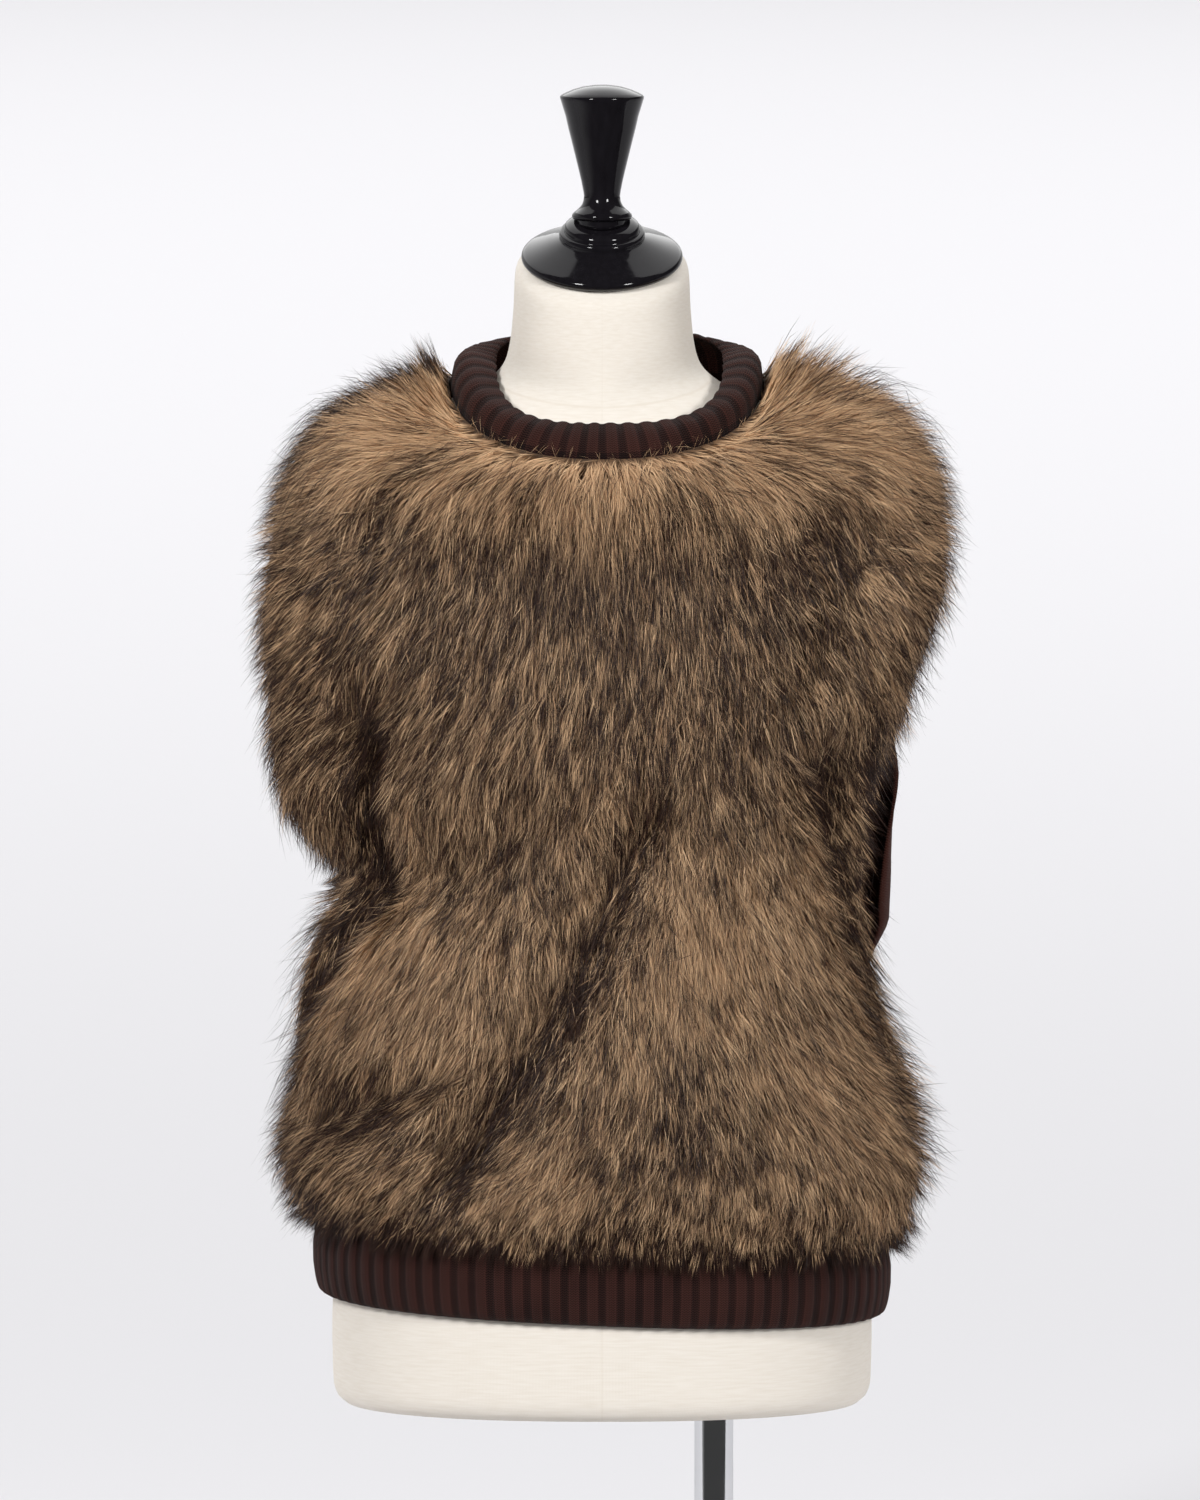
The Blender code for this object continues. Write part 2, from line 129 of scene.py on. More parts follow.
roomLight = addNode(room, "ShaderNodeMapRange",
                    {"interpolation_type": "SMOOTHSTEP", "From Min": studio["darkFrom"][0],
                     "From Max": studio["darkFrom"][1], "To Min": studio["roomLight"], "To Max": studio["darkLight"]},
                    {"Value": roomFacing.outputs["Value"]})
roomSeen = addNode(room, "ShaderNodeLightPath")  # the camera itself sees white walls all round
roomStrength = addNode(room, "ShaderNodeMath", {"operation": "MAXIMUM"},
                       {0: roomLight, 1: roomSeen.outputs["Is Camera Ray"]})
setNode(room, room.node_tree.nodes["Background"], {"Color": linear(studio["room"])}, {"Strength": roomStrength})
for place, target, watts, width, height in studio["lights"]:
    bpy.ops.object.light_add(type="AREA", location=place)
    light = bpy.context.object
    light.data.energy = watts
    light.data.shape = "RECTANGLE"
    light.data.size, light.data.size_y = width, height
    light.rotation_euler = (Vector(target) - Vector(place)).to_track_quat("-Z", "Y").to_euler()

bpy.ops.object.select_all(action="DESELECT")
floorMiddle = studio["floorFront"] + studio["floorSize"] / 2
bpy.ops.mesh.primitive_plane_add(size=studio["floorSize"], location=(0, floorMiddle, 0))
floor = bpy.context.object
floor.name = "studio_floor"
# Matt floor paint: pale and even, with no gloss to mirror the stand.
floorPaint, shader = newMaterial("Matt floor paint")
setNode(floorPaint, shader, {"Base Color": linear(studio["floor"]), "Roughness": 0.9, "Specular IOR Level": 0.1})
floor.data.materials.append(floorPaint)
print("camera, lights and floor set")

# The vest's cloth, as rows from the hem up to the neckline. Angles are in degrees from the middle front.
vest = {
    "roundness": 2.3,  # power of the sections, 2 is an ellipse
    "droop": 1.15,  # power of a ring's fall from its sides to its front, 1 is a flat tilt
    "hemSlope": -0.040,
    "hemSlopeRows": 3,
    "arcPerDegree": 0.0027,
    "seamGap": 0.0004,
    # heights at front, side and back, half widths left and right, depths front and back,
    # then the front panel's edges left and right, and the back panel's
    "rows": [
        (0.121, 0.121, 0.121, 0.1845, 0.1845, 0.1275, 0.1255, 90, 90, 90, 90),
        (0.160, 0.160, 0.158, 0.1930, 0.1970, 0.1360, 0.1290, 90, 90, 90, 90),
        (0.232, 0.232, 0.228, 0.1910, 0.1775, 0.1380, 0.1240, 90, 88, 90, 88),
        (0.300, 0.296, 0.292, 0.1770, 0.1660, 0.1330, 0.1150, 89, 82, 89, 82),
        (0.352, 0.342, 0.338, 0.1590, 0.1660, 0.1300, 0.1110, 86, 77, 88, 80),
        (0.415, 0.398, 0.396, 0.1930, 0.1700, 0.1330, 0.1130, 80, 75, 99, 85),
        (0.478, 0.470, 0.468, 0.2030, 0.1920, 0.1360, 0.1170, 77, 78, 102, 98),
        (0.536, 0.552, 0.542, 0.2050, 0.2130, 0.1340, 0.1180, 80, 81, 101, 101),
        (0.580, 0.626, 0.612, 0.1820, 0.1930, 0.1260, 0.1080, 97, 97, 97, 97),
        (0.606, 0.652, 0.644, 0.1420, 0.1475, 0.1130, 0.0930, 103, 103, 103, 103),
        (0.622, 0.664, 0.668, 0.0990, 0.1050, 0.0980, 0.0760, 112, 112, 112, 112),
    ],
    # troughs and ridges: angle and height where they start and end, rise, width
    "folds": [
        (-47, 0.455, -54, 0.345, -0.024, 0.022),  # under the left wing
        (-54, 0.345, -80, 0.225, -0.014, 0.020),  # down the left side
        (48, 0.430, 66, 0.300, -0.018, 0.020),  # under the right wing
        (66, 0.300, 82, 0.150, -0.014, 0.018),  # down the right side
        (9, 0.385, -26, 0.165, -0.014, 0.024),  # long slant over the belly
        (-60, 0.180, -33, 0.215, -0.010, 0.020),  # low on the left
        (-30, 0.365, -6, 0.400, -0.006, 0.026),  # under the left bust
        (46, 0.545, 37, 0.480, -0.009, 0.018),  # right chest
        (-41, 0.560, -47, 0.500, -0.008, 0.018),  # left chest
        (-72, 0.500, -70, 0.420, 0.008, 0.030),  # left wing's swell
        (128, 0.420, 150, 0.300, -0.010, 0.024),  # right shoulder blade to waist
        (-126, 0.430, -148, 0.300, -0.010, 0.024),  # left shoulder blade to waist
        (-170, 0.300, -150, 0.180, -0.008, 0.024),  # soft slant low on the back
        (160, 0.240, 130, 0.165, -0.008, 0.022),  # low on the right
        (-108, 0.250, -112, 0.160, -0.007, 0.018),  # by the left seam
    ],
    "armholeFlare": (84, 0.430, 86, 0.325, 0.020, 0.030),  # the back's right edge stands out
}
neckline = len(vest["rows"]) - 1


def betweenRows(table, place):
    rows = np.array(table, float)
    rows = np.vstack([2 * rows[0] - rows[1], rows, 2 * rows[-1] - rows[-2]])
    i = np.clip(np.asarray(place).astype(int), 0, len(table) - 2)
    f = (np.asarray(place) - i)[..., None]
    a, b, c, d = (rows[i + k] for k in range(4))
    return b + 0.5 * f * (c - a + f * (2 * a - 5 * b + 4 * c - d + f * (3 * (b - c) + d - a)))


def smoothBetween(value, low, high):
    share = np.clip((value - low) / (high - low), 0, 1)
    return share * share * (3 - 2 * share)


def sectionPoint(angle, half, depth, power=vest["roundness"]):
    s, c = np.sin(angle), np.cos(angle)
    reach = (np.abs(s) ** power + np.abs(c) ** power) ** (-1 / power)
    return half * reach * s, -depth * reach * c


def ringPoint(ring, angle, power=vest["roundness"]):
    s, c = np.sin(angle), np.cos(angle)
    half = np.where(s > 0, ring[..., 4], ring[..., 3])
    depth = np.where(c > 0, ring[..., 5], ring[..., 6])
    x, y = sectionPoint(angle, half, depth, power)
    fall = np.where(c > 0, ring[..., 0], ring[..., 2]) - ring[..., 1]
    return np.stack([x, y, ring[..., 1] + fall * np.abs(y / depth) ** vest["droop"]], axis=-1)


def vestPoint(row, angle):
    point = ringPoint(betweenRows(vest["rows"], row), angle)
    point[..., 2] += vest["hemSlope"] * point[..., 0] * np.maximum(0, 1 - row / vest["hemSlopeRows"])
    return point


def unit(vectors):
    return vectors / np.maximum(np.linalg.norm(vectors, axis=-1, keepdims=True), 1e-12)


def outward(surface, row, angle, lastRow):
    step = 1e-3
    up = surface(np.minimum(row + step, lastRow), angle) - surface(np.maximum(row - step, 0), angle)
    along = surface(row, angle + step) - surface(row, angle - step)
    return unit(np.cross(along, up))


def awayFromLine(place, start, end):
    run = end - start
    along = np.clip((place - start) @ run / (run @ run), 0, 1)
    return np.linalg.norm(place - start - along[..., None] * run, axis=-1)


def foldHeight(folds, angle, height):
    degrees = np.degrees((angle + math.pi) % (2 * math.pi) - math.pi)
    place = np.stack([degrees * vest["arcPerDegree"], height], axis=-1)
    trough, ridge = np.zeros(angle.shape), np.zeros(angle.shape)
    for angleA, heightA, angleB, heightB, rise, width in folds:
        start = np.array([angleA * vest["arcPerDegree"], heightA])
        end = np.array([angleB * vest["arcPerDegree"], heightB])
        lift = rise * np.exp(-((awayFromLine(place, start, end) / width) ** 2))
        trough, ridge = np.minimum(trough, lift), np.maximum(ridge, lift)
    return trough + ridge


def panelPlaces(row, startEdge, sweep, columns, folds):
    # a panel's rows, angles and heights, the way out of the cloth, its folds and its points
    angle = np.radians(startEdge[:, None] + sweep[:, None] * np.linspace(0, 1, columns + 1))
    rowGrid = np.repeat(row[:, None], columns + 1, axis=1)
    height = betweenRows(vest["rows"], rowGrid)[..., 0]
    out = outward(vestPoint, rowGrid, angle, neckline)
    rise = foldHeight(folds, angle, height)
    points = vestPoint(rowGrid, angle) + out * rise[..., None]
    points[..., 2] += formFoot
    return rowGrid, angle, height, out, rise, points


def layGrid(name, points, across, up, closed=False):
    # a grid whose points are laid on a form; its map is in metres across and up the cloth
    rows, columns = points.shape[:2]
    bpy.ops.object.select_all(action="DESELECT")
    bpy.ops.mesh.primitive_grid_add(x_subdivisions=columns - 1, y_subdivisions=rows - 1)
    piece = bpy.context.object
    piece.name = piece.data.name = name
    piece.data.vertices.foreach_set("co", points.astype(np.float32).ravel())
    corners = np.empty(len(piece.data.loops), np.int32)
    piece.data.loops.foreach_get("vertex_index", corners)
    spread = np.stack([across.ravel()[corners], up.ravel()[corners]], axis=-1)
    piece.data.uv_layers.active.uv.foreach_set("vector", spread.astype(np.float32).ravel())
    piece.data.update()
    if closed:
        bpy.ops.object.mode_set(mode="EDIT")
        bpy.ops.mesh.select_all(action="SELECT")
        bpy.ops.mesh.remove_doubles(threshold=2e-6)
        bpy.ops.object.mode_set(mode="OBJECT")
    bpy.ops.object.shade_smooth()
    return piece


def thicken(piece, wall):
    bpy.ops.object.modifier_add(type="SOLIDIFY")
    solidify = piece.modifiers["Solidify"]
    solidify.thickness = wall
    solidify.offset = 1  # outwards, so the inside stays on the form
    bpy.ops.object.modifier_apply(modifier="Solidify")


def lengthsAcross(points):
    steps = np.linalg.norm(np.diff(points, axis=1), axis=-1)
    return np.concatenate([np.zeros((len(points), 1)), np.cumsum(steps, axis=1)], axis=1)


def lengthsUp(points):
    return lengthsAcross(points.swapaxes(0, 1)).swapaxes(0, 1)


def knitMaterial(name, colours, wale, course, relief, pitch=0):
    # Plain knitted wool: rows of small V stitches, matt, with a little fuzz. Ribs, where it has any, have painted shade
    # in their grooves and a painted highlight on their outer stitches.
    material, shader = newMaterial(name)
    cover = addNode(material, "ShaderNodeUVMap", {"uv_map": "UVMap"})
    stitches = addNode(material, "ShaderNodeMapping", {"Scale": (1 / wale, 1 / course, 1)}, {"Vector": cover})
    split = addNode(material, "ShaderNodeSeparateXYZ", {}, {"Vector": stitches})
    # the legs of a V rise from the middle of the stitch to both sides
    leg = addNode(material, "ShaderNodeMath", {"operation": "PINGPONG", 1: 0.5}, {0: split.outputs["X"]})
    slant = addNode(material, "ShaderNodeMath", {"operation": "MULTIPLY_ADD", 1: 1.3},
                    {0: leg, 2: split.outputs["Y"]})
    turn = addNode(material, "ShaderNodeMath", {"operation": "MULTIPLY", 1: 2 * math.pi}, {0: slant})
    loops = addNode(material, "ShaderNodeMath", {"operation": "SINE"}, {0: turn})
    ridge = addNode(material, "ShaderNodeMath", {"operation": "PINGPONG", 1: 0.25}, {0: split.outputs["X"]})
    yarn = addNode(material, "ShaderNodeMath", {"operation": "MULTIPLY_ADD", 1: 3.0}, {0: ridge, 2: loops})
    coords = addNode(material, "ShaderNodeTexCoord")
    fuzz = addNode(material, "ShaderNodeTexNoise", {"Scale": 900, "Detail": 3}, {"Vector": coords.outputs["Object"]})
    patch = addNode(material, "ShaderNodeTexNoise", {"Scale": 28, "Detail": 2}, {"Vector": coords.outputs["Object"]})
    shade = addNode(material, "ShaderNodeMapRange", {"From Min": -1.0, "From Max": 1.75, "To Min": 0.0, "To Max": 0.75},
                    {"Value": yarn})
    tone = addNode(material, "ShaderNodeMath", {"operation": "MULTIPLY_ADD", 1: 0.45}, {0: patch, 2: shade})
    if pitch:
        rib = addNode(material, "ShaderNodeMath", {"operation": "MULTIPLY", 1: wale / pitch}, {0: split.outputs["X"]})
        fromGroove = addNode(material, "ShaderNodeMath", {"operation": "PINGPONG", 1: 0.5}, {0: rib})
        # painted shade in the grooves between the ribs
        grooveShade = addNode(material, "ShaderNodeMapRange", {"interpolation_type": "SMOOTHSTEP", "From Min": 0.14,
                                                          "From Max": 0.26, "To Min": -0.32, "To Max": 0.0},
                         {"Value": fromGroove})
        # the outermost stitches of a rib catch the light
        edge = addNode(material, "ShaderNodeMath", {"operation": "COMPARE", 1: 0.275, 2: 0.022}, {0: fromGroove})
        ribHighlightAndShade = addNode(material, "ShaderNodeMath", {"operation": "MULTIPLY_ADD", 1: 0.22}, {0: edge, 2: grooveShade})
        ribTone = addNode(material, "ShaderNodeMath", {"operation": "ADD"}, {0: tone, 1: ribHighlightAndShade})
        # painted shade: the first courses by the seam are linked tight and lie in shade
        seam = addNode(material, "ShaderNodeMapRange", {"interpolation_type": "SMOOTHSTEP", "From Min": 2.2,
                                                        "From Max": 3.0, "To Min": -0.30, "To Max": 0.0},
                       {"Value": split.outputs["Y"]})
        tone = addNode(material, "ShaderNodeMath", {"operation": "ADD"}, {0: ribTone, 1: seam})
    ramp = addNode(material, "ShaderNodeValToRGB", {}, {"Fac": tone})
    ramp.color_ramp.elements[0].color = linear(colours[0])
    ramp.color_ramp.elements[0].position = 0.12
    ramp.color_ramp.elements[1].color = linear(colours[1])
    nap = addNode(material, "ShaderNodeMath", {"operation": "MULTIPLY_ADD", 1: 0.8}, {0: fuzz, 2: yarn})
    bump = addNode(material, "ShaderNodeBump", {"Strength": 0.55, "Distance": relief}, {"Height": nap})
    setNode(material, shader,
            {"Roughness": 0.9, "Specular IOR Level": 0.12, "Sheen Weight": 0.04, "Sheen Roughness": 0.5},
            {"Base Color": ramp, "Normal": bump})
    return material


# Dress form: sections from its underside to the neck's tilted cut.
form = {
    "sides": 120,
    "steps": 4,  # rows between two sections
    "neckTilt": math.radians(19),
    "tiltFrom": 0.690,
    "neckTop": 0.7431,
    "neckAxisY": -0.0085,
    "neckSeam": 0.6707,  # height of the seam round the neck at its sides
    "seamSlope": 0.277,  # it rises to the back
    "cloth": ("#e8dfd2", "#f1eae0"),
    "mapRadius": 0.15,  # turns angles into metres across the map
    "thread": 0.0008,  # drawn about half again as coarse as the real linen, so that it shows
    # height, half width, depths front and back, power of the section
    "rows": [
        (0.000, 0.1680, 0.1080, 0.1060, 2.3),
        (0.006, 0.1735, 0.1150, 0.1130, 2.3),
        (0.020, 0.1755, 0.1180, 0.1160, 2.3),
        (0.070, 0.1755, 0.1180, 0.1160, 2.3),
        (0.130, 0.1700, 0.1130, 0.1110, 2.3),
        (0.210, 0.1460, 0.1000, 0.0980, 2.3),
        (0.290, 0.1260, 0.0920, 0.0860, 2.3),
        (0.370, 0.1360, 0.1020, 0.0880, 2.3),
        (0.450, 0.1500, 0.1120, 0.0920, 2.3),
        (0.520, 0.1580, 0.1080, 0.0940, 2.3),
        (0.570, 0.1660, 0.0980, 0.0920, 2.3),
        (0.605, 0.1720, 0.0880, 0.0860, 2.3),
        (0.622, 0.1680, 0.0790, 0.0840, 2.0),
        (0.635, 0.1530, 0.0715, 0.0780, 1.8),
        (0.6455, 0.1245, 0.0660, 0.0720, 1.6),
        (0.656, 0.0935, 0.0620, 0.0660, 1.55),
        (0.666, 0.0755, 0.0600, 0.0600, 1.6),
        (0.676, 0.0645, 0.0590, 0.0540, 1.9),
        (0.690, 0.0598, 0.0585, 0.0475, 2.2),
        (0.712, 0.0574, 0.0580, 0.0430, 2.3),
        (0.7345, 0.0560, 0.0570, 0.0400, 2.3),
        (0.7431, 0.0510, 0.0520, 0.0350, 2.3),
    ],
}


def formPoints():
    places = np.linspace(0, len(form["rows"]) - 1, (len(form["rows"]) - 1) * form["steps"] + 1)
    rows = betweenRows(form["rows"], places)
    # both ends close in two steps to their middle
    foot = [rows[:1] * (1, f, f, f, 1) for f in (0.0, 0.5, 0.9)]
    cut = [rows[-1:] * (1, f, f, f, 1) for f in (0.9, 0.5, 0.0)]
    rows = np.concatenate([*foot, rows, *cut])[:, None, :]
    angle = np.linspace(-math.pi, math.pi, form["sides"] + 1)[None, :]
    depth = np.where(np.cos(angle) > 0, rows[..., 2], rows[..., 3])
    x, y = sectionPoint(angle, rows[..., 1], depth, rows[..., 4])
    tilt = math.tan(form["neckTilt"]) * smoothBetween(rows[..., 0], form["tiltFrom"], form["neckTop"])
    z = rows[..., 0] + tilt * (y - form["neckAxisY"]) + formFoot
    return np.stack([x, y, z], axis=-1), angle + 0 * x


points, angle = formPoints()
formShell = layGrid("form_linen", points, angle * form["mapRadius"], points[..., 2], closed=True)
# Bleached linen stretched over a moulded shell: a matt cream weave with slubs and sewn seams.
linen, shader = newMaterial("Cream linen")
cover = addNode(linen, "ShaderNodeUVMap", {"uv_map": "UVMap"})
threads = addNode(linen, "ShaderNodeMapping", {"Scale": (1 / form["thread"], 1 / form["thread"], 1)},
                  {"Vector": cover})
split = addNode(linen, "ShaderNodeSeparateXYZ", {}, {"Vector": threads})
warp = addNode(linen, "ShaderNodeMath", {"operation": "PINGPONG", 1: 0.5}, {0: split.outputs["X"]})
weft = addNode(linen, "ShaderNodeMath", {"operation": "PINGPONG", 1: 0.5}, {0: split.outputs["Y"]})
weave = addNode(linen, "ShaderNodeMath", {"operation": "ADD"}, {0: warp, 1: weft})
# slubs are thick stretches of thread, long across and thin up
slubs = addNode(linen, "ShaderNodeMapping", {"Scale": (60, 700, 1)}, {"Vector": cover})
slub = addNode(linen, "ShaderNodeTexNoise", {"Scale": 1.0, "Detail": 3}, {"Vector": slubs})
place = addNode(linen, "ShaderNodeSeparateXYZ", {}, {"Vector": cover})
middle = addNode(linen, "ShaderNodeMath", {"operation": "ABSOLUTE"}, {0: place.outputs["X"]})
frontSeam = addNode(linen, "ShaderNodeMapRange", {"From Min": 0.0002, "From Max": 0.0008, "To Min": 0.5, "To Max": 0.0},
                    {"Value": middle})
coords = addNode(linen, "ShaderNodeTexCoord")
sloped = addNode(linen, "ShaderNodeVectorMath", {"operation": "DOT_PRODUCT", 1: (0, -form["seamSlope"], 1)},
                 {0: coords.outputs["Object"]})
aboveNeck = addNode(linen, "ShaderNodeMath", {"operation": "SUBTRACT", 1: form["neckSeam"] + formFoot},
                    {0: sloped.outputs["Value"]})
nearNeck = addNode(linen, "ShaderNodeMath", {"operation": "ABSOLUTE"}, {0: aboveNeck})
neckSeam = addNode(linen, "ShaderNodeMapRange", {"From Min": 0.0002, "From Max": 0.0009, "To Min": 1.0, "To Max": 0.0},
                   {"Value": nearNeck})
seams = addNode(linen, "ShaderNodeMath", {"operation": "MAXIMUM"}, {0: frontSeam, 1: neckSeam})
tone = addNode(linen, "ShaderNodeMath", {"operation": "MULTIPLY_ADD", 1: 0.22}, {0: weave, 2: slub})
seamTone = addNode(linen, "ShaderNodeMath", {"operation": "MULTIPLY_ADD", 1: -0.35}, {0: seams, 2: tone})
ramp = addNode(linen, "ShaderNodeValToRGB", {}, {"Fac": seamTone})
ramp.color_ramp.elements[0].color = linear(form["cloth"][0])
ramp.color_ramp.elements[0].position = 0.25
ramp.color_ramp.elements[1].color = linear(form["cloth"][1])
ramp.color_ramp.elements[1].position = 0.8
relief = addNode(linen, "ShaderNodeMath", {"operation": "SUBTRACT"}, {0: weave, 1: seams})
bump = addNode(linen, "ShaderNodeBump", {"Strength": 0.25, "Distance": 0.0003}, {"Height": relief})
setNode(linen, shader, {"Roughness": 0.82, "Specular IOR Level": 0.3}, {"Base Color": ramp, "Normal": bump})
finishPiece(formShell, linen)
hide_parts("form_torso")
print("dress form covered")

# Turned pieces: a circle drawn up its profile, a ring at a time.
turnings = {
    "sides": 72,
    # radius and height above the seat: rolled rim, shallow cone, raised ring and flange
    "cap": [
        (0.0, 0.0004), (0.0470, 0.0004), (0.0492, 0.0007), (0.0508, 0.0016), (0.0519, 0.0031), (0.0523, 0.0045),
        (0.0520, 0.0058), (0.0510, 0.0070), (0.0496, 0.0077), (0.0480, 0.0084), (0.0412, 0.0113), (0.0340, 0.0145),
        (0.0288, 0.0168), (0.0277, 0.0175), (0.0275, 0.0185), (0.0278, 0.0199), (0.0277, 0.0213), (0.0270, 0.0223),
        (0.0260, 0.0227), (0.0249, 0.0228), (0.0246, 0.0233), (0.0246, 0.0247), (0.0242, 0.0258), (0.0230, 0.0271),
        (0.0205, 0.0282), (0.0180, 0.0290), (0.0168, 0.0292), (0.0, 0.0292),
    ],
    # radius and height above the form's underside: stem, bead, long taper, sharp rim and domed top
    "knob": [
        (0.0, 0.7580), (0.0157, 0.7580), (0.0159, 0.7690), (0.0163, 0.7714), (0.0178, 0.7717), (0.0190, 0.7725),
        (0.0196, 0.7737), (0.0193, 0.7752), (0.0179, 0.7767), (0.0157, 0.7785), (0.0140, 0.7802), (0.0128, 0.7819),
        (0.0120, 0.7842), (0.0117, 0.7872), (0.0122, 0.7905), (0.0133, 0.7962), (0.0147, 0.8022), (0.0172, 0.8124),
        (0.0198, 0.8229), (0.0218, 0.8308), (0.0236, 0.8388), (0.0254, 0.8446), (0.0268, 0.8492), (0.0272, 0.8506),
        (0.0272, 0.8514), (0.0265, 0.8523), (0.0237, 0.8538), (0.0190, 0.8559), (0.0130, 0.8577), (0.0065, 0.8587),
        (0.0, 0.8590),
    ],
    "pole": [(0.0, 0.0), (0.0120, 0.0), (0.0128, 0.0008), (0.0128, 0.2472), (0.0120, 0.2480), (0.0, 0.2480)],
    "base": [
        (0.0, 0.0), (0.1585, 0.0), (0.1596, 0.0006), (0.1600, 0.0018), (0.1600, 0.0090), (0.1592, 0.0107),
        (0.1575, 0.0118), (0.1550, 0.0120), (0.0, 0.0120),
    ],
    "knobAxisY": -0.0180,
    "poleX": 0.073,
    "gap": 0.0003,
}


def turnPiece(name, profile, location=(0, 0, 0), tilt=0):
    bpy.ops.object.select_all(action="DESELECT")
    bpy.ops.mesh.primitive_circle_add(vertices=turnings["sides"], radius=profile[1][0], fill_type="TRIFAN",
                                      location=(0, 0, 0))
    piece = bpy.context.object
    piece.name = piece.data.name = name
    bpy.ops.object.mode_set(mode="EDIT")
    bpy.ops.mesh.select_all(action="SELECT")
    bpy.ops.transform.translate(value=(0, 0, profile[1][1]))
    bpy.ops.mesh.region_to_loop()  # the rim of the disc
    for (radius, height), (newRadius, newHeight) in zip(profile[1:-2], profile[2:-1]):
        bpy.ops.mesh.extrude_edges_move(TRANSFORM_OT_translate={"value": (0, 0, newHeight - height)})
        share = newRadius / radius
        bpy.ops.transform.resize(value=(share, share, 1), center_override=(0, 0, newHeight))
    bpy.ops.mesh.extrude_edges_move(TRANSFORM_OT_translate={"value": (0, 0, profile[-1][1] - profile[-2][1])})
    bpy.ops.mesh.merge(type="CENTER")
    bpy.ops.mesh.select_all(action="SELECT")
    bpy.ops.mesh.normals_make_consistent(inside=False)
    bpy.ops.object.mode_set(mode="OBJECT")
    bpy.ops.object.shade_smooth_by_angle(angle=math.radians(38))
    piece.location, piece.rotation_euler = location, (tilt, 0, 0)
    bpy.ops.object.transform_apply(location=True, rotation=True, scale=True)
    return piece


# Gloss black lacquer on turned wood: a deep, wet-looking coat with a hint of grain under it and light polish marks.
lacquer, shader = newMaterial("Black lacquer on wood")
coords = addNode(lacquer, "ShaderNodeTexCoord")
grainPlace = addNode(lacquer, "ShaderNodeMapping", {"Scale": (260, 260, 30)}, {"Vector": coords.outputs["Object"]})
grain = addNode(lacquer, "ShaderNodeTexNoise", {"Scale": 1.0, "Detail": 4}, {"Vector": grainPlace})
grainTone = addNode(lacquer, "ShaderNodeValToRGB", {}, {"Fac": grain})
grainTone.color_ramp.elements[0].color = linear("#0e0c0f")
grainTone.color_ramp.elements[1].color = linear("#1b191d")
polish = addNode(lacquer, "ShaderNodeMapRange", {"To Min": 0.04, "To Max": 0.12}, {"Value": grain})
setNode(lacquer, shader, {"Specular IOR Level": 0.22}, {"Base Color": grainTone, "Roughness": polish})

# Polished chrome plate on steel: mirror bright, with faint smears from handling.
chrome, shader = newMaterial("Polished chrome plate")
coords = addNode(chrome, "ShaderNodeTexCoord")
smears = addNode(chrome, "ShaderNodeTexNoise", {"Scale": 35, "Detail": 4}, {"Vector": coords.outputs["Object"]})
smearGloss = addNode(chrome, "ShaderNodeMapRange", {"From Min": 0.35, "From Max": 0.75, "To Min": 0.05, "To Max": 0.12},
                     {"Value": smears})
plate = addNode(chrome, "ShaderNodeValToRGB", {}, {"Fac": smears})
plate.color_ramp.elements[0].color = linear("#d3d4d6")
plate.color_ramp.elements[1].color = linear("#dfe0e2")
setNode(chrome, shader, {"Metallic": 1.0}, {"Base Color": plate, "Roughness": smearGloss})

seat = Vector((0, form["neckAxisY"], formFoot + form["neckTop"]))
neckCap = turnPiece("neck_cap", turnings["cap"], seat, form["neckTilt"])
finishPiece(neckCap, lacquer)
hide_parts("form_neck_cap")

knob = turnPiece("knob", turnings["knob"], (0, turnings["knobAxisY"], formFoot))
# the stem is cut to the slope of the cap's flange
slope = Vector((0, -math.sin(form["neckTilt"]), math.cos(form["neckTilt"])))
flange = seat + slope * (turnings["cap"][-1][1] + turnings["gap"])
bpy.ops.object.mode_set(mode="EDIT")
bpy.ops.mesh.select_all(action="SELECT")
bpy.ops.mesh.bisect(plane_co=flange, plane_no=slope, use_fill=True, clear_inner=True)
bpy.ops.object.mode_set(mode="OBJECT")
finishPiece(knob, lacquer)
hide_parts("form_knob")

pole = turnPiece("pole", turnings["pole"], (turnings["poleX"], 0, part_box("stand_pole")[0].z))
finishPiece(pole, chrome)
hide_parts("stand_pole")

base = turnPiece("base", turnings["base"])
finishPiece(base, chrome)
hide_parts("stand_base")
print("cap, knob, pole and base turned")

# Back panel: plain knit from edge to edge round the back.
back = {
    "rows": 76,
    "columns": 100,
    "wall": 0.0020,
    "colours": ("#2a130f", "#4c2a22"),
    "wale": 0.0021,  # drawn about half again as coarse as the real knit, so that it shows
    "course": 0.0017,
    "cut": 0.245,  # square metres
    "flat": (0.50, 0.56),
    # finer creases than the vest's main folds, in the same columns
    "creases": [
        (110, 0.548, 142, 0.500, -0.0060, 0.011),  # from both armholes to the shoulder blades
        (-112, 0.540, -138, 0.508, -0.0055, 0.011),
        (100, 0.398, 130, 0.370, -0.0055, 0.010),  # drag lines at the waist
        (-100, 0.372, -136, 0.344, -0.0060, 0.010),
        (144, 0.345, 172, 0.318, -0.0050, 0.012),
        (-150, 0.356, -176, 0.336, -0.0045, 0.011),
        (116, 0.210, 150, 0.148, 0.0050, 0.012),  # swells over the hem band
        (-126, 0.218, -162, 0.152, 0.0045, 0.012),
        (-174, 0.626, -140, 0.606, -0.0035, 0.010),  # under the neck band
        (172, 0.622, 148, 0.608, -0.0030, 0.010),
    ],
}
row = np.linspace(0, neckline, back["rows"] + 1)
edges = betweenRows(vest["rows"], row)
rightEdge = np.maximum(edges[:, 10], edges[:, 8] + np.degrees(vest["seamGap"] / edges[:, 4]))
leftEdge = np.maximum(edges[:, 9], edges[:, 7] + np.degrees(vest["seamGap"] / edges[:, 3]))
folds = [*vest["folds"], vest["armholeFlare"], *back["creases"]]
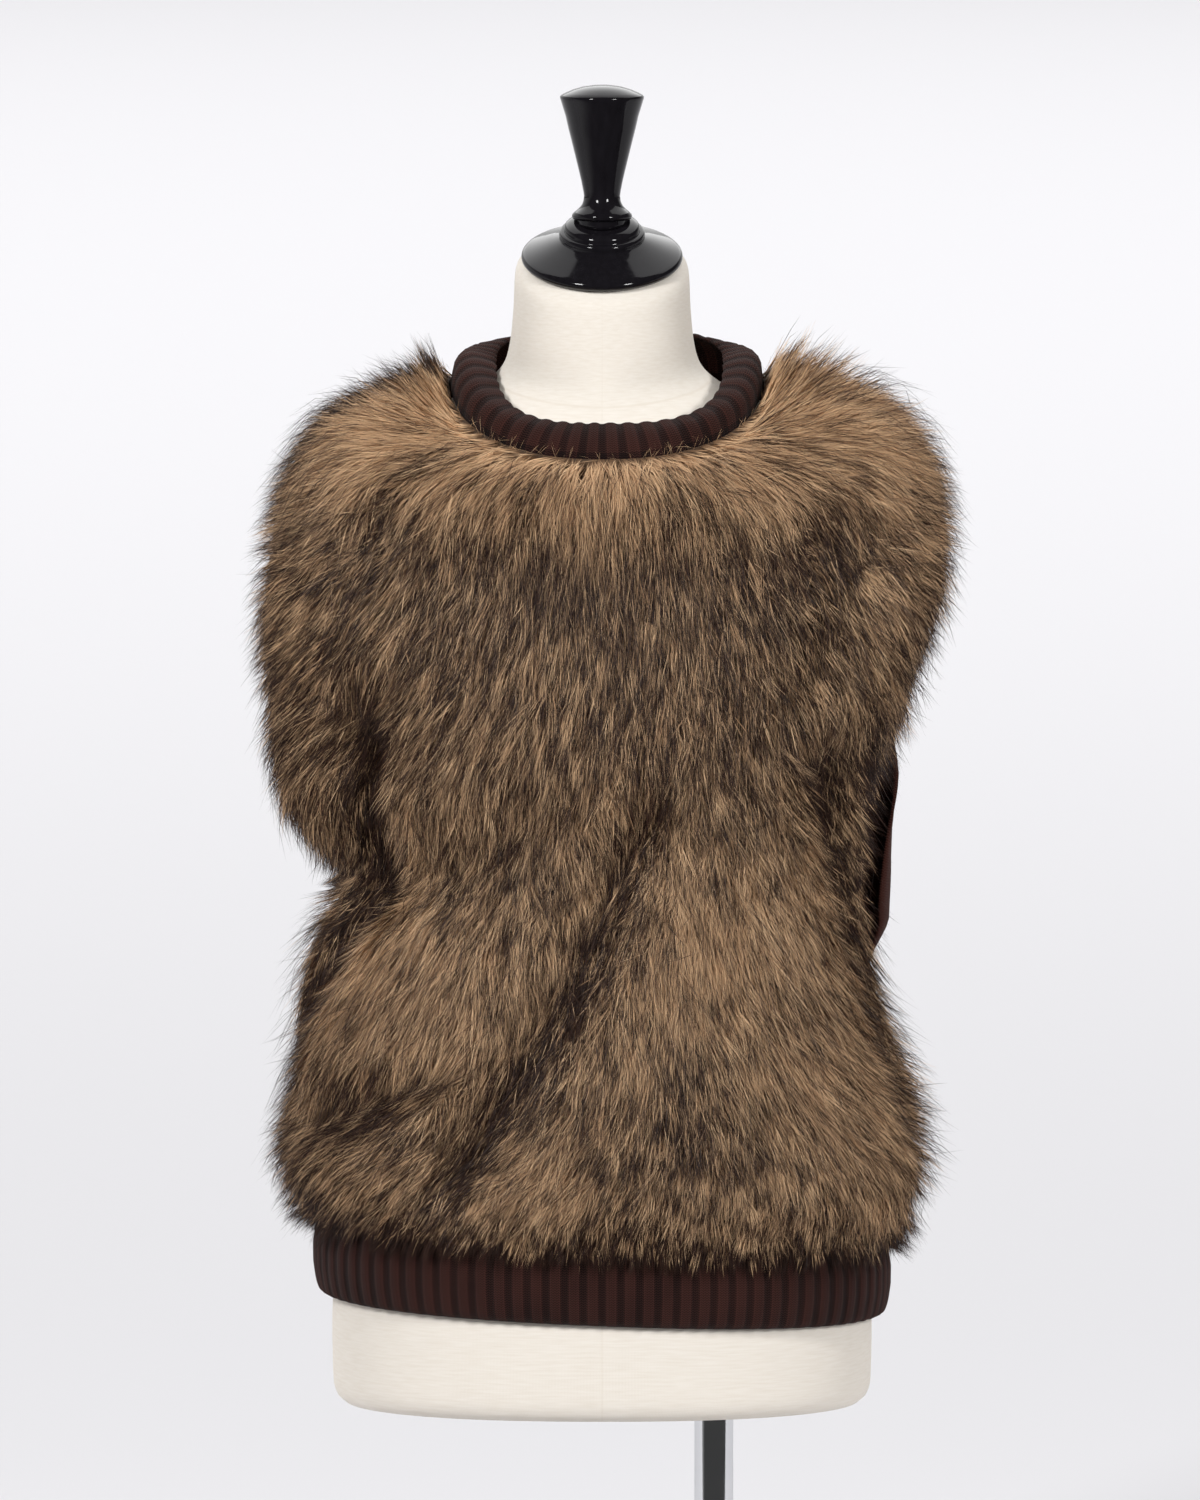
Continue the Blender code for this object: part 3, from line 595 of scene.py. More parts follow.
points = panelPlaces(row, rightEdge, 360 - leftEdge - rightEdge, back["columns"], folds)[-1]
backPanel = layGrid("back_knit", points, lengthsAcross(points), lengthsUp(points))
thicken(backPanel, back["wall"])
knit = knitMaterial("Brown knitted wool", back["colours"], back["wale"], back["course"], 0.0004)
finishPiece(backPanel, knit)
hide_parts("back_panel")
print("back panel laid")

# Rib bands: each is a folded band, so its section runs up the outside, over the free edge and down the inside.
ribs = {
    "colours": ("#110706", "#462822"),
    "pitch": 0.010,  # of a rib on the map, five stitches wide
    "wale": 0.002,
    "course": 0.0016,  # drawn a little coarser than the real stitches
    "stepsPerRib": 8,
    "hemCount": 84,
    "hemRise": 0.0013,
    "neckCount": 46,
    "neckRise": 0.0011,
    "neckWall": 0.0032,
    # hem: height, and how far its inside and its rib crests stand off the form's hips
    "hemRows": [
        (0.064, 0.0007, 0.0052), (0.070, 0.0046, 0.0106), (0.096, 0.0072, 0.0130), (0.132, 0.0018, 0.0057),
    ],
    "hips": (0.1755, 0.118, 0.116),
    # places among those rows, from the seam round to the free edge
    "hemPlaces": [3.0, 2.9, 2.7, 2.4, 2.0, 1.6, 1.25, 1.0, 0.8, 0.55, 0.3, 0.1],
    # neck: the seam and the free edge, as rows of the vest
    "neckSeam": (0.6228, 0.6645, 0.6687, 0.0980, 0.1040, 0.0973, 0.0753),
    "neckEdge": (0.6450, 0.6800, 0.6950, 0.0690, 0.0790, 0.0790, 0.0600),
    "neckEdgeRoundness": 3.0,  # the free edge is squarer than the seam
    # place from seam to free edge, how far the band bows out all round and more at the sides, how far its ribs stand
    "neckRows": [
        (0.00, 0.0000, 0.0000, 0.6), (0.30, 0.0024, 0.0080, 1.0), (0.65, 0.0030, 0.0080, 1.0), (1.00, 0.0004, 0.0, 0.5),
    ],
    "neckPlaces": [0.0, 0.1, 0.4, 0.8, 1.2, 1.6, 2.0, 2.4, 2.7, 2.9],  # among those rows
    "scallop": 0.03,  # how far ribs reach past grooves at the free edge, as a share of the band
    "neckFlat": (0.52, 0.035),
    "hemFlat": (1.00, 0.070),
}


def ribWave(angle, count):
    # 0 in the grooves, 1 on soft-shouldered ribs that are a little wider
    low, high = math.tanh(-1.4), math.tanh(1.8)
    return (np.tanh(1.6 * (0.125 - np.cos(angle * count))) - low) / (high - low)


def ribMap(points, count):
    # across in ribs of one pitch, up in metres
    return np.tile(np.linspace(0, count * ribs["pitch"], points.shape[1]), (len(points), 1)), lengthsUp(points)


def evenHipAngles(count):
    # angles that part the hips into equal lengths, so that the ribs are evenly wide
    fine = np.linspace(-math.pi, math.pi, 2001)
    halfWidth, front, backDepth = ribs["hips"]
    places = np.stack(sectionPoint(fine, halfWidth, np.where(np.cos(fine) > 0, front, backDepth)), axis=-1)
    lengths = np.concatenate([[0], np.cumsum(np.linalg.norm(np.diff(places, axis=0), axis=-1))])
    return np.interp(np.linspace(0, lengths[-1], count + 1), lengths, fine)


def foldedBand(places, edge):
    # places up the outside, over the free edge and down the inside, closed; and how far outside they lie
    place = np.concatenate([places, [edge], places[::-1], places[:1]])
    return place, np.concatenate([np.ones(len(places)), [0.5], np.zeros(len(places)), [1.0]])


def hemPoints():
    steps = ribs["hemCount"] * ribs["stepsPerRib"]
    angle = evenHipAngles(steps)
    wave = ribWave(np.linspace(-math.pi, math.pi, steps + 1), ribs["hemCount"])
    place, side = foldedBand(ribs["hemPlaces"], 0.0)
    rows = betweenRows(ribs["hemRows"], place)
    halfWidth, front, backDepth = ribs["hips"]
    crest = rows[:, 2][:, None] - ribs["hemRise"] * (1 - wave)[None, :]
    off = rows[:, 1][:, None] + (crest - rows[:, 1][:, None]) * side[:, None]
    depth = np.where(np.cos(angle) > 0, front, backDepth)[None, :]
    x, y = sectionPoint(angle[None, :], halfWidth + off, depth + off)
    return np.stack([x, y, rows[:, 0][:, None] + vest["hemSlope"] * x + formFoot], axis=-1)


def collarPoint(across, angle):
    seam = ringPoint(np.array(ribs["neckSeam"]), angle)
    edge = ringPoint(np.array(ribs["neckEdge"]), angle, ribs["neckEdgeRoundness"])
    return seam + across[..., None] * (edge - seam)


def neckPoints():
    angle = np.linspace(-math.pi, math.pi, ribs["neckCount"] * ribs["stepsPerRib"] + 1)[None, :]
    place, side = foldedBand(ribs["neckPlaces"], 3.0)
    rows = betweenRows(ribs["neckRows"], place)[:, None, :]
    wide = np.repeat(angle, len(place), axis=0)
    wave = ribWave(angle, ribs["neckCount"])
    across = rows[..., 0] + ribs["scallop"] * (wave - 0.5) * smoothBetween(rows[..., 0], 0.7, 1)
    out = outward(collarPoint, np.clip(across, 0, 1), wide, 1.0)
    bow = rows[..., 1] + rows[..., 2] * np.sin(angle) ** 2
    crest = ribs["neckRise"] * rows[..., 3] * wave
    off = bow - ribs["neckWall"] + (crest + ribs["neckWall"]) * side[:, None]
    points = collarPoint(across, wide) + out * off[..., None]
    points[..., 2] += formFoot
    return points


ribKnit = knitMaterial("Brown rib-knit wool", ribs["colours"], ribs["wale"], ribs["course"], 0.0007, ribs["pitch"])
points = hemPoints()
hemBand = layGrid("hem_band", points, *ribMap(points, ribs["hemCount"]), closed=True)
finishPiece(hemBand, ribKnit)
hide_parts("hem_rib")
points = neckPoints()
neckBand = layGrid("neck_band", points, *ribMap(points, ribs["neckCount"]), closed=True)
finishPiece(neckBand, ribKnit)
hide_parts("neck_rib")
print("rib bands knitted")

# Fur front: a thin backing, and strands that grow from it in locks.
fur = {
    "rows": 220,
    "columns": 300,
    "backing": 0.0016,
    "backingStep": 4,  # the backing's grid is this much coarser than the one that the strands read
    "seed": 11,
    "locks": 14200,
    "strandsPerLock": 18,
    "pieces": 5,
    "lockSpread": 0.0022,
    "lockSwing": 10,  # degrees either way from the combed lay
    "strandSwing": 5,
    "lockShade": 0.31,  # how far locks and strands differ in their dark tips
    "strandShade": 0.22,
    "strandWidth": 0.00054,
    "widthSpread": (0.7, 1.3),
    "length": 0.042,
    "lockLength": (0.9, 1.12),
    "strandLength": (0.7, 1.1),
    "endSpread": 0.005,  # how unevenly the strands of the lowest locks end
    "lockRise": 0.10,
    "strandRise": (0.45, 1.08),  # of the pile's height
    "lay": ((0.36, 0.58), 0.88),  # share of the length and of the rise at the bend, share of the length at the tip
    "roll": 1.15,  # strands are turned up to this much about their run
    "softNormal": (0.62, 0.52),  # how far a strand is shaded as the fur's surface, and as itself
    "bend": 0.42,  # share of a strand's length from its root to its bend
    "gather": (0.32, 0.70),  # how far a lock's strands close in at the bend and at the tip
    "lifted": 0.3,  # share of locks whose tips stand away from the rest
    "liftedTip": (0.002, 0.009),
    "liftedAtSide": 0.7,  # tips stand away this much more where the fur turns to the sides
    "fringe": (0.001, 0.010),  # how far locks hang over the hem band, and how much more the lowest ones do
    "underFringe": 0.012,
    "underFringeReach": (0.004, 0.016),
    "shortAtLeft": 0.012,  # the lowest locks at the left side end this much higher
    "shortShare": (0.01, 0.16),  # of the panel's width, from full to none
    "guardHairs": 20000,  # before those on the front are thinned out
    "guardOnFront": 0.5,
    "guardWidth": 0.00038,
    "guardSwing": 18,
    "guardLength": (1.05, 1.35),
    "guardOverHem": (0.006, 0.020),
    "guardRise": (0.9, 1.25),
    "guardShade": (0.85, 0.12),
    "stray": 0.35,  # share of guard hairs that stand off the fur, more of them at the sides, and how far
    "strayAtSide": 0.45,
    "strayTip": (0.004, 0.017),
    "neckWisps": 170,
    "wispRows": 3,  # they grow on this many rows of the grid
    "wispSwing": 75,
    "wispLength": (0.003, 0.018),
    "wispLift": (0.001, 0.007),
    "wispWidth": (0.22, 0.42),  # of a guard hair
    "stand": 0.7,
    "standTip": 0.007,
    "standAngles": (35, 70),
    "standRows": 1.3,  # below the neckline
    "sideAngles": (55, 80),  # where the front turns to the sides
    # standing height of the fur
    "pile": 0.018,
    "pileOnShoulder": 0.026,
    "pileAtNeck": 0.0022,
    "pileAtSide": 0.009,
    "pileAtBack": 0.006,
    # tufts at a side edge: side, rows where they start, are full, fade and end, standing height
    "tufts": [(1, 0.4, 1.0, 1.9, 2.8, 0.020), (-1, 1.6, 2.2, 3.0, 3.8, 0.018)],
    "pileAtHem": 0.012,
    "shoulderAngles": (45, 75),
    "shoulderRows": (0.72, 2.52),  # below the neckline
    "sideSlope": 0.030,  # the pile is full this far from the sides, in metres
    "hemSlopeRows": 0.9,
    "neckSlopeRows": (0.8, 0.08),  # at the middle front and on the shoulders
    # combed places: angle, height, turn in degrees towards +X, width in metres
    "combed": [
        (-50, 0.170, -34, 0.060), (-35, 0.250, -20, 0.060), (-20, 0.170, -28, 0.050), (-4, 0.200, -22, 0.040),
        (8, 0.320, -14, 0.050), (62, 0.220, 12, 0.050), (-85, 0.180, -26, 0.050), (88, 0.180, 40, 0.050),
        (-78, 0.410, -22, 0.045), (-62, 0.460, -34, 0.050), (-76, 0.500, -38, 0.050), (-72, 0.560, -42, 0.045),
        (-50, 0.560, -38, 0.045), (-28, 0.560, -22, 0.045), (-30, 0.480, -16, 0.050), (72, 0.420, 28, 0.050),
        (80, 0.500, 44, 0.050), (80, 0.560, 46, 0.045), (56, 0.560, 44, 0.045), (34, 0.560, 26, 0.045),
        (50, 0.480, 28, 0.050), (28, 0.460, 12, 0.050),
    ],
    # places with more dark tips (positive) or fewer, partly the fur's own patches, partly painted shade in troughs and
    # painted light on the tan edges: angle, height, amount, width in metres
    "tipPatchesAndPaintedLight": [
        (-22, 0.560, 0.25, 0.050), (20, 0.550, 0.25, 0.060), (0, 0.500, 0.15, 0.080), (-50, 0.500, 0.20, 0.050),
        (0, 0.620, -0.50, 0.022), (-30, 0.618, -0.50, 0.022), (30, 0.618, -0.50, 0.022),
        (-60, 0.612, -0.50, 0.026), (60, 0.612, -0.50, 0.026), (90, 0.600, -0.35, 0.026), (-62, 0.585, -0.30, 0.024),
        (80, 0.560, -0.40, 0.030), (-45, 0.300, -0.20, 0.050), (25, 0.330, -0.20, 0.050), (-38, 0.400, -0.15, 0.030),
        (-84, 0.590, 0.50, 0.018), (-62, 0.540, 0.25, 0.035), (-80, 0.545, -0.35, 0.025), (-80, 0.480, -0.15, 0.022),
        (-66, 0.450, 0.30, 0.030), (-85, 0.165, 0.30, 0.030), (64, 0.450, 0.40, 0.024), (68, 0.520, 0.35, 0.024),
        (82, 0.230, -0.30, 0.022), (84, 0.170, -0.30, 0.022), (-46, 0.225, 0.30, 0.034), (-64, 0.140, 0.50, 0.020),
        (-40, 0.130, 0.35, 0.022), (30, 0.470, 0.15, 0.050), (45, 0.260, -0.15, 0.050), (14, 0.215, 0.25, 0.028),
        (8, 0.155, 0.25, 0.020), (-25, 0.385, 0.20, 0.036), (-10, 0.180, -0.20, 0.026),
    ],
    # partings where the pile sinks and its dark tips meet, with painted shade in the crease: points of angle and
    # height, dark amount, width in metres
    "partings": [
        # the long slant over the belly
        ([(12.9, 0.396), (8.4, 0.370), (5.7, 0.328), (-1.4, 0.304)], 0.50, 0.008),
        ([(-1.4, 0.304), (-5.9, 0.269), (-11.4, 0.245), (-19, 0.205), (-23.6, 0.171), (-27.8, 0.157)], 0.95, 0.008),
        # down the left side, from under the wing
        ([(-43, 0.438), (-51, 0.412), (-57, 0.383), (-61, 0.364)], 1.0, 0.009),
        ([(-61, 0.364), (-67, 0.340), (-72, 0.312), (-76, 0.290)], 1.0, 0.018),
        ([(-76, 0.290), (-81, 0.262), (-84, 0.240), (-85, 0.200)], 1.0, 0.010),
        # down the right side, two lines that meet at the waist
        ([(54, 0.429), (60, 0.389), (65, 0.360), (69, 0.331), (72, 0.300)], 1.0, 0.007),
        ([(72, 0.300), (76, 0.270), (78, 0.240), (80, 0.205), (82, 0.175), (85, 0.150)], 1.0, 0.009),
        ([(61, 0.453), (69, 0.424), (75, 0.392), (76, 0.358), (71, 0.335)], 0.80, 0.006),
        ([(-86, 0.590), (-93, 0.612)], 0.70, 0.016),  # over the left shoulder
        ([(38, 0.566), (34.5, 0.534)], 0.45, 0.011),  # right chest
        ([(-46, 0.590), (-46, 0.572)], 0.45, 0.009),  # left chest
    ],
    "partingDepth": 0.62,  # share of the pile's height lost where a parting is all dark
    "partingSpread": 2.0,  # the pile sinks over this many times the dark line's width
    "partingReach": (0.15, 0.25, 0.35, 0.45, 0.55, 0.65, 0.75, 0.85),  # shares of a strand that may meet a parting
    "partingEdge": 0.4,  # strands end where a parting is this dark
    "partingOverlap": 0.12,  # and reach this share of their length past its edge
    "partingLength": 0.55,  # of strands that grow in a parting
    "partingRoots": (0.2, 0.5),  # they do from none to all where it is this dark
    "partingTip": 0.55,  # how dark, as painted shade, a strand gets that only ends there
    "darkShare": 0.42,
    # painted shade in the fold troughs: how much, and the trough depth that gets all of it
    "foldTroughPaintedShade": 0.20,
    "foldDepth": 0.020,  # of a fold that is shaded in full
    "hemShade": 0.65,
    "hemShadeReach": (0.003, 0.026),
    "tan": ("#9d7350", "#f8d3a8"),
    # the roots' colour: the underfur's own, darkened as painted shade deep in the pile
    "under": "#6e523b",
    "tip": ("#130b09", "#422a1f"),
    "flat": (0.54, 0.56),
    "cut": 0.265,
}
chance = np.random.default_rng(fur["seed"])


def pileHeight(row, angle, toSide):
    toNeck = neckline - row
    over = smoothBetween(np.degrees(np.abs(angle)), *fur["shoulderAngles"])
    shoulder = over * (1 - smoothBetween(toNeck, *fur["shoulderRows"]))
    edge = fur["pileAtSide"] + (fur["pileAtBack"] - fur["pileAtSide"]) * shoulder
    for side, start, full, fade, end, tall in fur["tufts"]:
        swell = (np.sign(angle) == side) * smoothBetween(row, start, full) * (1 - smoothBetween(row, fade, end))
        edge = edge + (tall - edge) * swell
    body = fur["pile"] + (fur["pileOnShoulder"] - fur["pile"]) * shoulder
    height = edge + (body - edge) * smoothBetween(toSide, 0, fur["sideSlope"])
    height = fur["pileAtHem"] + (height - fur["pileAtHem"]) * smoothBetween(row, 0, fur["hemSlopeRows"])
    middle, shoulders = fur["neckSlopeRows"]
    slope = middle - (middle - shoulders) * over
    return fur["pileAtNeck"] + (height - fur["pileAtNeck"]) * smoothBetween(toNeck, 0, slope)


def placedAmount(table, angle, height):
    total, weight = np.zeros(angle.shape), np.ones(angle.shape)
    for atAngle, atHeight, amount, width in table:
        away = np.hypot((np.degrees(angle) - atAngle) * vest["arcPerDegree"], height - atHeight)
        near = 2 * np.exp(-((away / width) ** 2))
        total += near * amount
        weight += near
    return total * 1.5 / weight


def partingAmount(angle, height, spread=1):
    place = np.stack([np.degrees(angle) * vest["arcPerDegree"], height], axis=-1)
    most = np.zeros(angle.shape)
    for line, amount, width in fur["partings"]:
        line = np.array(line) * (vest["arcPerDegree"], 1)
        for start, end in zip(line[:-1], line[1:]):
            away = awayFromLine(place, start, end)
            most = np.maximum(most, amount * np.exp(-((away / width / spread) ** 2)))
    return most


row = np.linspace(0, neckline, fur["rows"] + 1)
edges = betweenRows(vest["rows"], row)
sweep = edges[:, 7] + edges[:, 8]
rowGrid, angle, height, out, folds, points = panelPlaces(row, -edges[:, 7], sweep, fur["columns"], vest["folds"])
step = fur["backingStep"]
coarse = [grid[::step, ::step] for grid in (points, lengthsAcross(points), lengthsUp(points))]
backing = layGrid("fur_backing", *coarse)
thicken(backing, fur["backing"])

# Long-pile fur: tan strands with near-black tips over a darker underfur, whose dark roots are also painted shade deep
# in the pile; soft sheen along the strand.
# The strand map holds the strand's share of dark tip and its tone across, and root to tip upwards.
strandFur, shader = newMaterial("Long-pile fur")
bands = 16
cover = addNode(strandFur, "ShaderNodeUVMap", {"uv_map": "OFBake"})
split = addNode(strandFur, "ShaderNodeSeparateXYZ", {}, {"Vector": cover})
band = addNode(strandFur, "ShaderNodeMath", {"operation": "MULTIPLY", 1: bands}, {0: split.outputs["X"]})
whole = addNode(strandFur, "ShaderNodeMath", {"operation": "FLOOR"}, {0: band})
tone = addNode(strandFur, "ShaderNodeMath", {"operation": "FRACT"}, {0: band})
tipStart = addNode(strandFur, "ShaderNodeMapRange", {"From Max": bands - 1, "To Min": 1.02, "To Max": 0.34},
                   {"Value": whole})
pastStart = addNode(strandFur, "ShaderNodeMath", {"operation": "SUBTRACT"}, {0: split.outputs["Y"], 1: tipStart})
dark = addNode(strandFur, "ShaderNodeMapRange",
               {"interpolation_type": "SMOOTHSTEP", "From Min": -0.14, "From Max": 0.12},
               {"Value": pastStart})
light = addNode(strandFur, "ShaderNodeMix", {"data_type": "RGBA", 6: linear(fur["tan"][0]), 7: linear(fur["tan"][1])},
                {0: tone})
tip = addNode(strandFur, "ShaderNodeMix", {"data_type": "RGBA", 6: linear(fur["tip"][0]), 7: linear(fur["tip"][1])},
              {0: tone})
# the roots darken to the underfur colour, which is also painted shade deep in the pile
fromRoot = addNode(strandFur, "ShaderNodeMapRange",
                   {"interpolation_type": "SMOOTHSTEP", "From Min": 0.0, "From Max": 0.35},
                   {"Value": split.outputs["Y"]})
lower = addNode(strandFur, "ShaderNodeMix", {"data_type": "RGBA", 6: linear(fur["under"])},
                {0: fromRoot, 7: light.outputs[2]})
colour = addNode(strandFur, "ShaderNodeMix", {"data_type": "RGBA"}, {0: dark, 6: lower.outputs[2], 7: tip.outputs[2]})
setNode(strandFur, shader, {"Roughness": 0.5, "Specular IOR Level": 0.18}, {"Base Color": colour.outputs[2]})

# the backing is brushed pile felt, seen only deep between the strands
felt, shader = newMaterial("Brushed pile backing")
coords = addNode(felt, "ShaderNodeTexCoord")
nap = addNode(felt, "ShaderNodeTexNoise", {"Scale": 420, "Detail": 4}, {"Vector": coords.outputs["Object"]})
napTone = addNode(felt, "ShaderNodeValToRGB", {}, {"Fac": nap})
napTone.color_ramp.elements[0].color = linear("#32241a")
napTone.color_ramp.elements[1].color = linear("#664b32")
napRelief = addNode(felt, "ShaderNodeBump", {"Strength": 0.5, "Distance": 0.0006}, {"Height": nap})
setNode(felt, shader, {"Roughness": 0.95}, {"Base Color": napTone, "Normal": napRelief})
finishPiece(backing, felt)
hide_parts("front_panel")


# what the strands read at a place on the cloth
up = unit(np.gradient(points, axis=0))
side = unit(np.gradient(points, axis=1))
share = np.linspace(0, 1, fur["columns"] + 1)
toSide = np.minimum(share, 1 - share) * sweep[:, None] * vest["arcPerDegree"]
fromMiddle = np.degrees(np.abs(angle))
toHem = lengthsUp(points)
cloth = {
    "point": points + out * fur["backing"],
    "normal": unit(np.cross(side, up)),
    "down": -up,
    "side": side,
    "rowStep": np.linalg.norm(np.gradient(points, axis=0), axis=-1),
    "columnStep": np.linalg.norm(np.gradient(points, axis=1), axis=-1),
    "pile": pileHeight(rowGrid, angle, toSide)
            * (1 - fur["partingDepth"] * partingAmount(angle, height, fur["partingSpread"])),
    "parting": partingAmount(angle, height),
    "atSide": smoothBetween(fromMiddle, *fur["sideAngles"]),
    "turn": placedAmount(fur["combed"], angle, height),
    "toHem": toHem,
    # by the neck band the fur on the shoulders stands up
    "stand": fur["stand"] * smoothBetween(fromMiddle, *fur["standAngles"])
             * smoothBetween(rowGrid, neckline - fur["standRows"], neckline),
    # the share of dark tip: the fur's own, with painted shade in the fold troughs and the placed painted light and
    # shade
    "shade": np.clip(fur["darkShare"] + placedAmount(fur["tipPatchesAndPaintedLight"], angle, height)
                     + np.clip(-folds / fur["foldDepth"], 0, 1) * fur["foldTroughPaintedShade"]
                     + fur["hemShade"] * (1 - smoothBetween(toHem, *fur["hemShadeReach"])), 0, 1),
}


def onCloth(name, row, column):
    field = cloth[name]
    row, column = np.clip(row, 0, fur["rows"] - 1e-6), np.clip(column, 0, fur["columns"] - 1e-6)
    i, j = row.astype(int), column.astype(int)
    f, g = row - i, column - j
    if field.ndim == 3:
        f, g = f[..., None], g[..., None]
    near = field[i, j] * (1 - g) + field[i, j + 1] * g
    return near * (1 - f) + (field[i + 1, j] * (1 - g) + field[i + 1, j + 1] * g) * f


def scatter(count):
    # places spread evenly by area over the cloth
    area = (cloth["rowStep"] * cloth["columnStep"])[:-1, :-1].ravel()
    mark = np.cumsum(area)
    cell = np.searchsorted(mark, (np.arange(count) + chance.random(count)) / count * mark[-1])
    cell = np.minimum(cell, len(area) - 1)
    return cell // fur["columns"] + chance.random(count), cell % fur["columns"] + chance.random(count)


def strandMesh(name, spines, widths, out, places, maps):
    # spines: strands, points, xyz. Every strand is a ribbon that ends in a point
    count, steps = spines.shape[:2]
    run = unit(np.gradient(spines, axis=1))
    across = unit(np.cross(run, out[:, None, :]))
    roll = chance.uniform(-fur["roll"], fur["roll"], (count, 1, 1))
    across = across * np.cos(roll) + np.cross(run, across) * np.sin(roll)
    half = across[:, :-1] * (widths[:, :-1, None] / 2)
    left, right = spines[:, :-1] - half, spines[:, :-1] + half
    points = np.concatenate([np.stack([left, right], axis=2).reshape(count, -1, 3), spines[:, -1:]], axis=1)
    perStrand = 2 * steps - 1
    faces, sizes = [], []
    for k in range(steps - 2):
        faces += [2 * k, 2 * k + 1, 2 * k + 3, 2 * k + 2]
        sizes.append(4)
    faces += [2 * steps - 4, 2 * steps - 3, 2 * steps - 2]
    sizes.append(3)
    starts = np.arange(count)[:, None] * perStrand
    corners = (starts + np.array(faces)).ravel()
    ends = np.cumsum(np.tile(sizes, count))
    mesh = bpy.data.meshes.new(name)
    mesh.vertices.add(count * perStrand)
    mesh.vertices.foreach_set("co", points.astype(np.float32).ravel())
    mesh.loops.add(len(corners))
    mesh.loops.foreach_set("vertex_index", corners.astype(np.int32))
    mesh.polygons.add(count * len(sizes))
    mesh.polygons.foreach_set("loop_start", (ends - np.tile(sizes, count)).astype(np.int32))
    mesh.update(calc_edges=True)
    # the strand's tone across, and its root to tip upwards
    v = np.repeat(np.array(places), 2)[:-1]
    u = np.tile([-1.0, 1.0], steps)[:perStrand] * 0.004
    u[-1] = 0
    spots = np.stack([maps[:, None] + u[None, :], np.repeat(v[None, :], count, axis=0)], axis=-1).reshape(-1, 2)
    layer = mesh.uv_layers.new(name="OFBake")
    layer.uv.foreach_set("vector", spots[corners].astype(np.float32).ravel())
    ribbon = np.cross(across, run)
    soft = unit(out[:, None, :] * fur["softNormal"][0] + ribbon * fur["softNormal"][1])
    soft = np.repeat(soft, 2, axis=1)[:, :-1].reshape(-1, 3)
    mesh.normals_split_custom_set_from_vertices(soft.tolist())
    piece = bpy.data.objects.new(name, mesh)
    bpy.context.scene.collection.objects.link(piece)
    return piece


def toneMap(shade, tone):
    band = np.clip(np.floor(shade * bands), 0, bands - 1)
    return (band + 0.15 + 0.7 * tone) / bands


def laidPlace(row, column, turn, distance):
    # the row and column that lie this far from a root along the lay of the fur
    distance = distance * (1 - onCloth("stand", row, column))
    rowStep, columnStep = onCloth("rowStep", row, column), onCloth("columnStep", row, column)
    return row - np.cos(turn) * distance / rowStep, column + np.sin(turn) * distance / columnStep, rowStep, columnStep


def alongCloth(row, column, turn, distance):
    # the same place as a point, past the cloth's edges too
    row, column, rowStep, columnStep = laidPlace(row, column, turn, distance)
    pastRow = row - np.clip(row, 0, fur["rows"])
    pastColumn = column - np.clip(column, 0, fur["columns"])
    point = onCloth("point", row, column)
    point = point - onCloth("down", row, column) * (pastRow * rowStep)[:, None]
    point = point + onCloth("side", row, column) * (pastColumn * columnStep)[:, None]
    return point, unit(onCloth("normal", row, column)), onCloth("pile", row, column)


def growSpines(row, column, turn, length, shape):
    # shape: for each point after the root its share of the length, its share of the pile's height, and a height on top
    spine = [onCloth("point", row, column)]
    for share, rise, more in shape:
        point, normal, pile = alongCloth(row, column, turn, length * share)
        spine.append(point + normal * (pile * rise + more)[:, None])
    return np.stack(spine, axis=1)


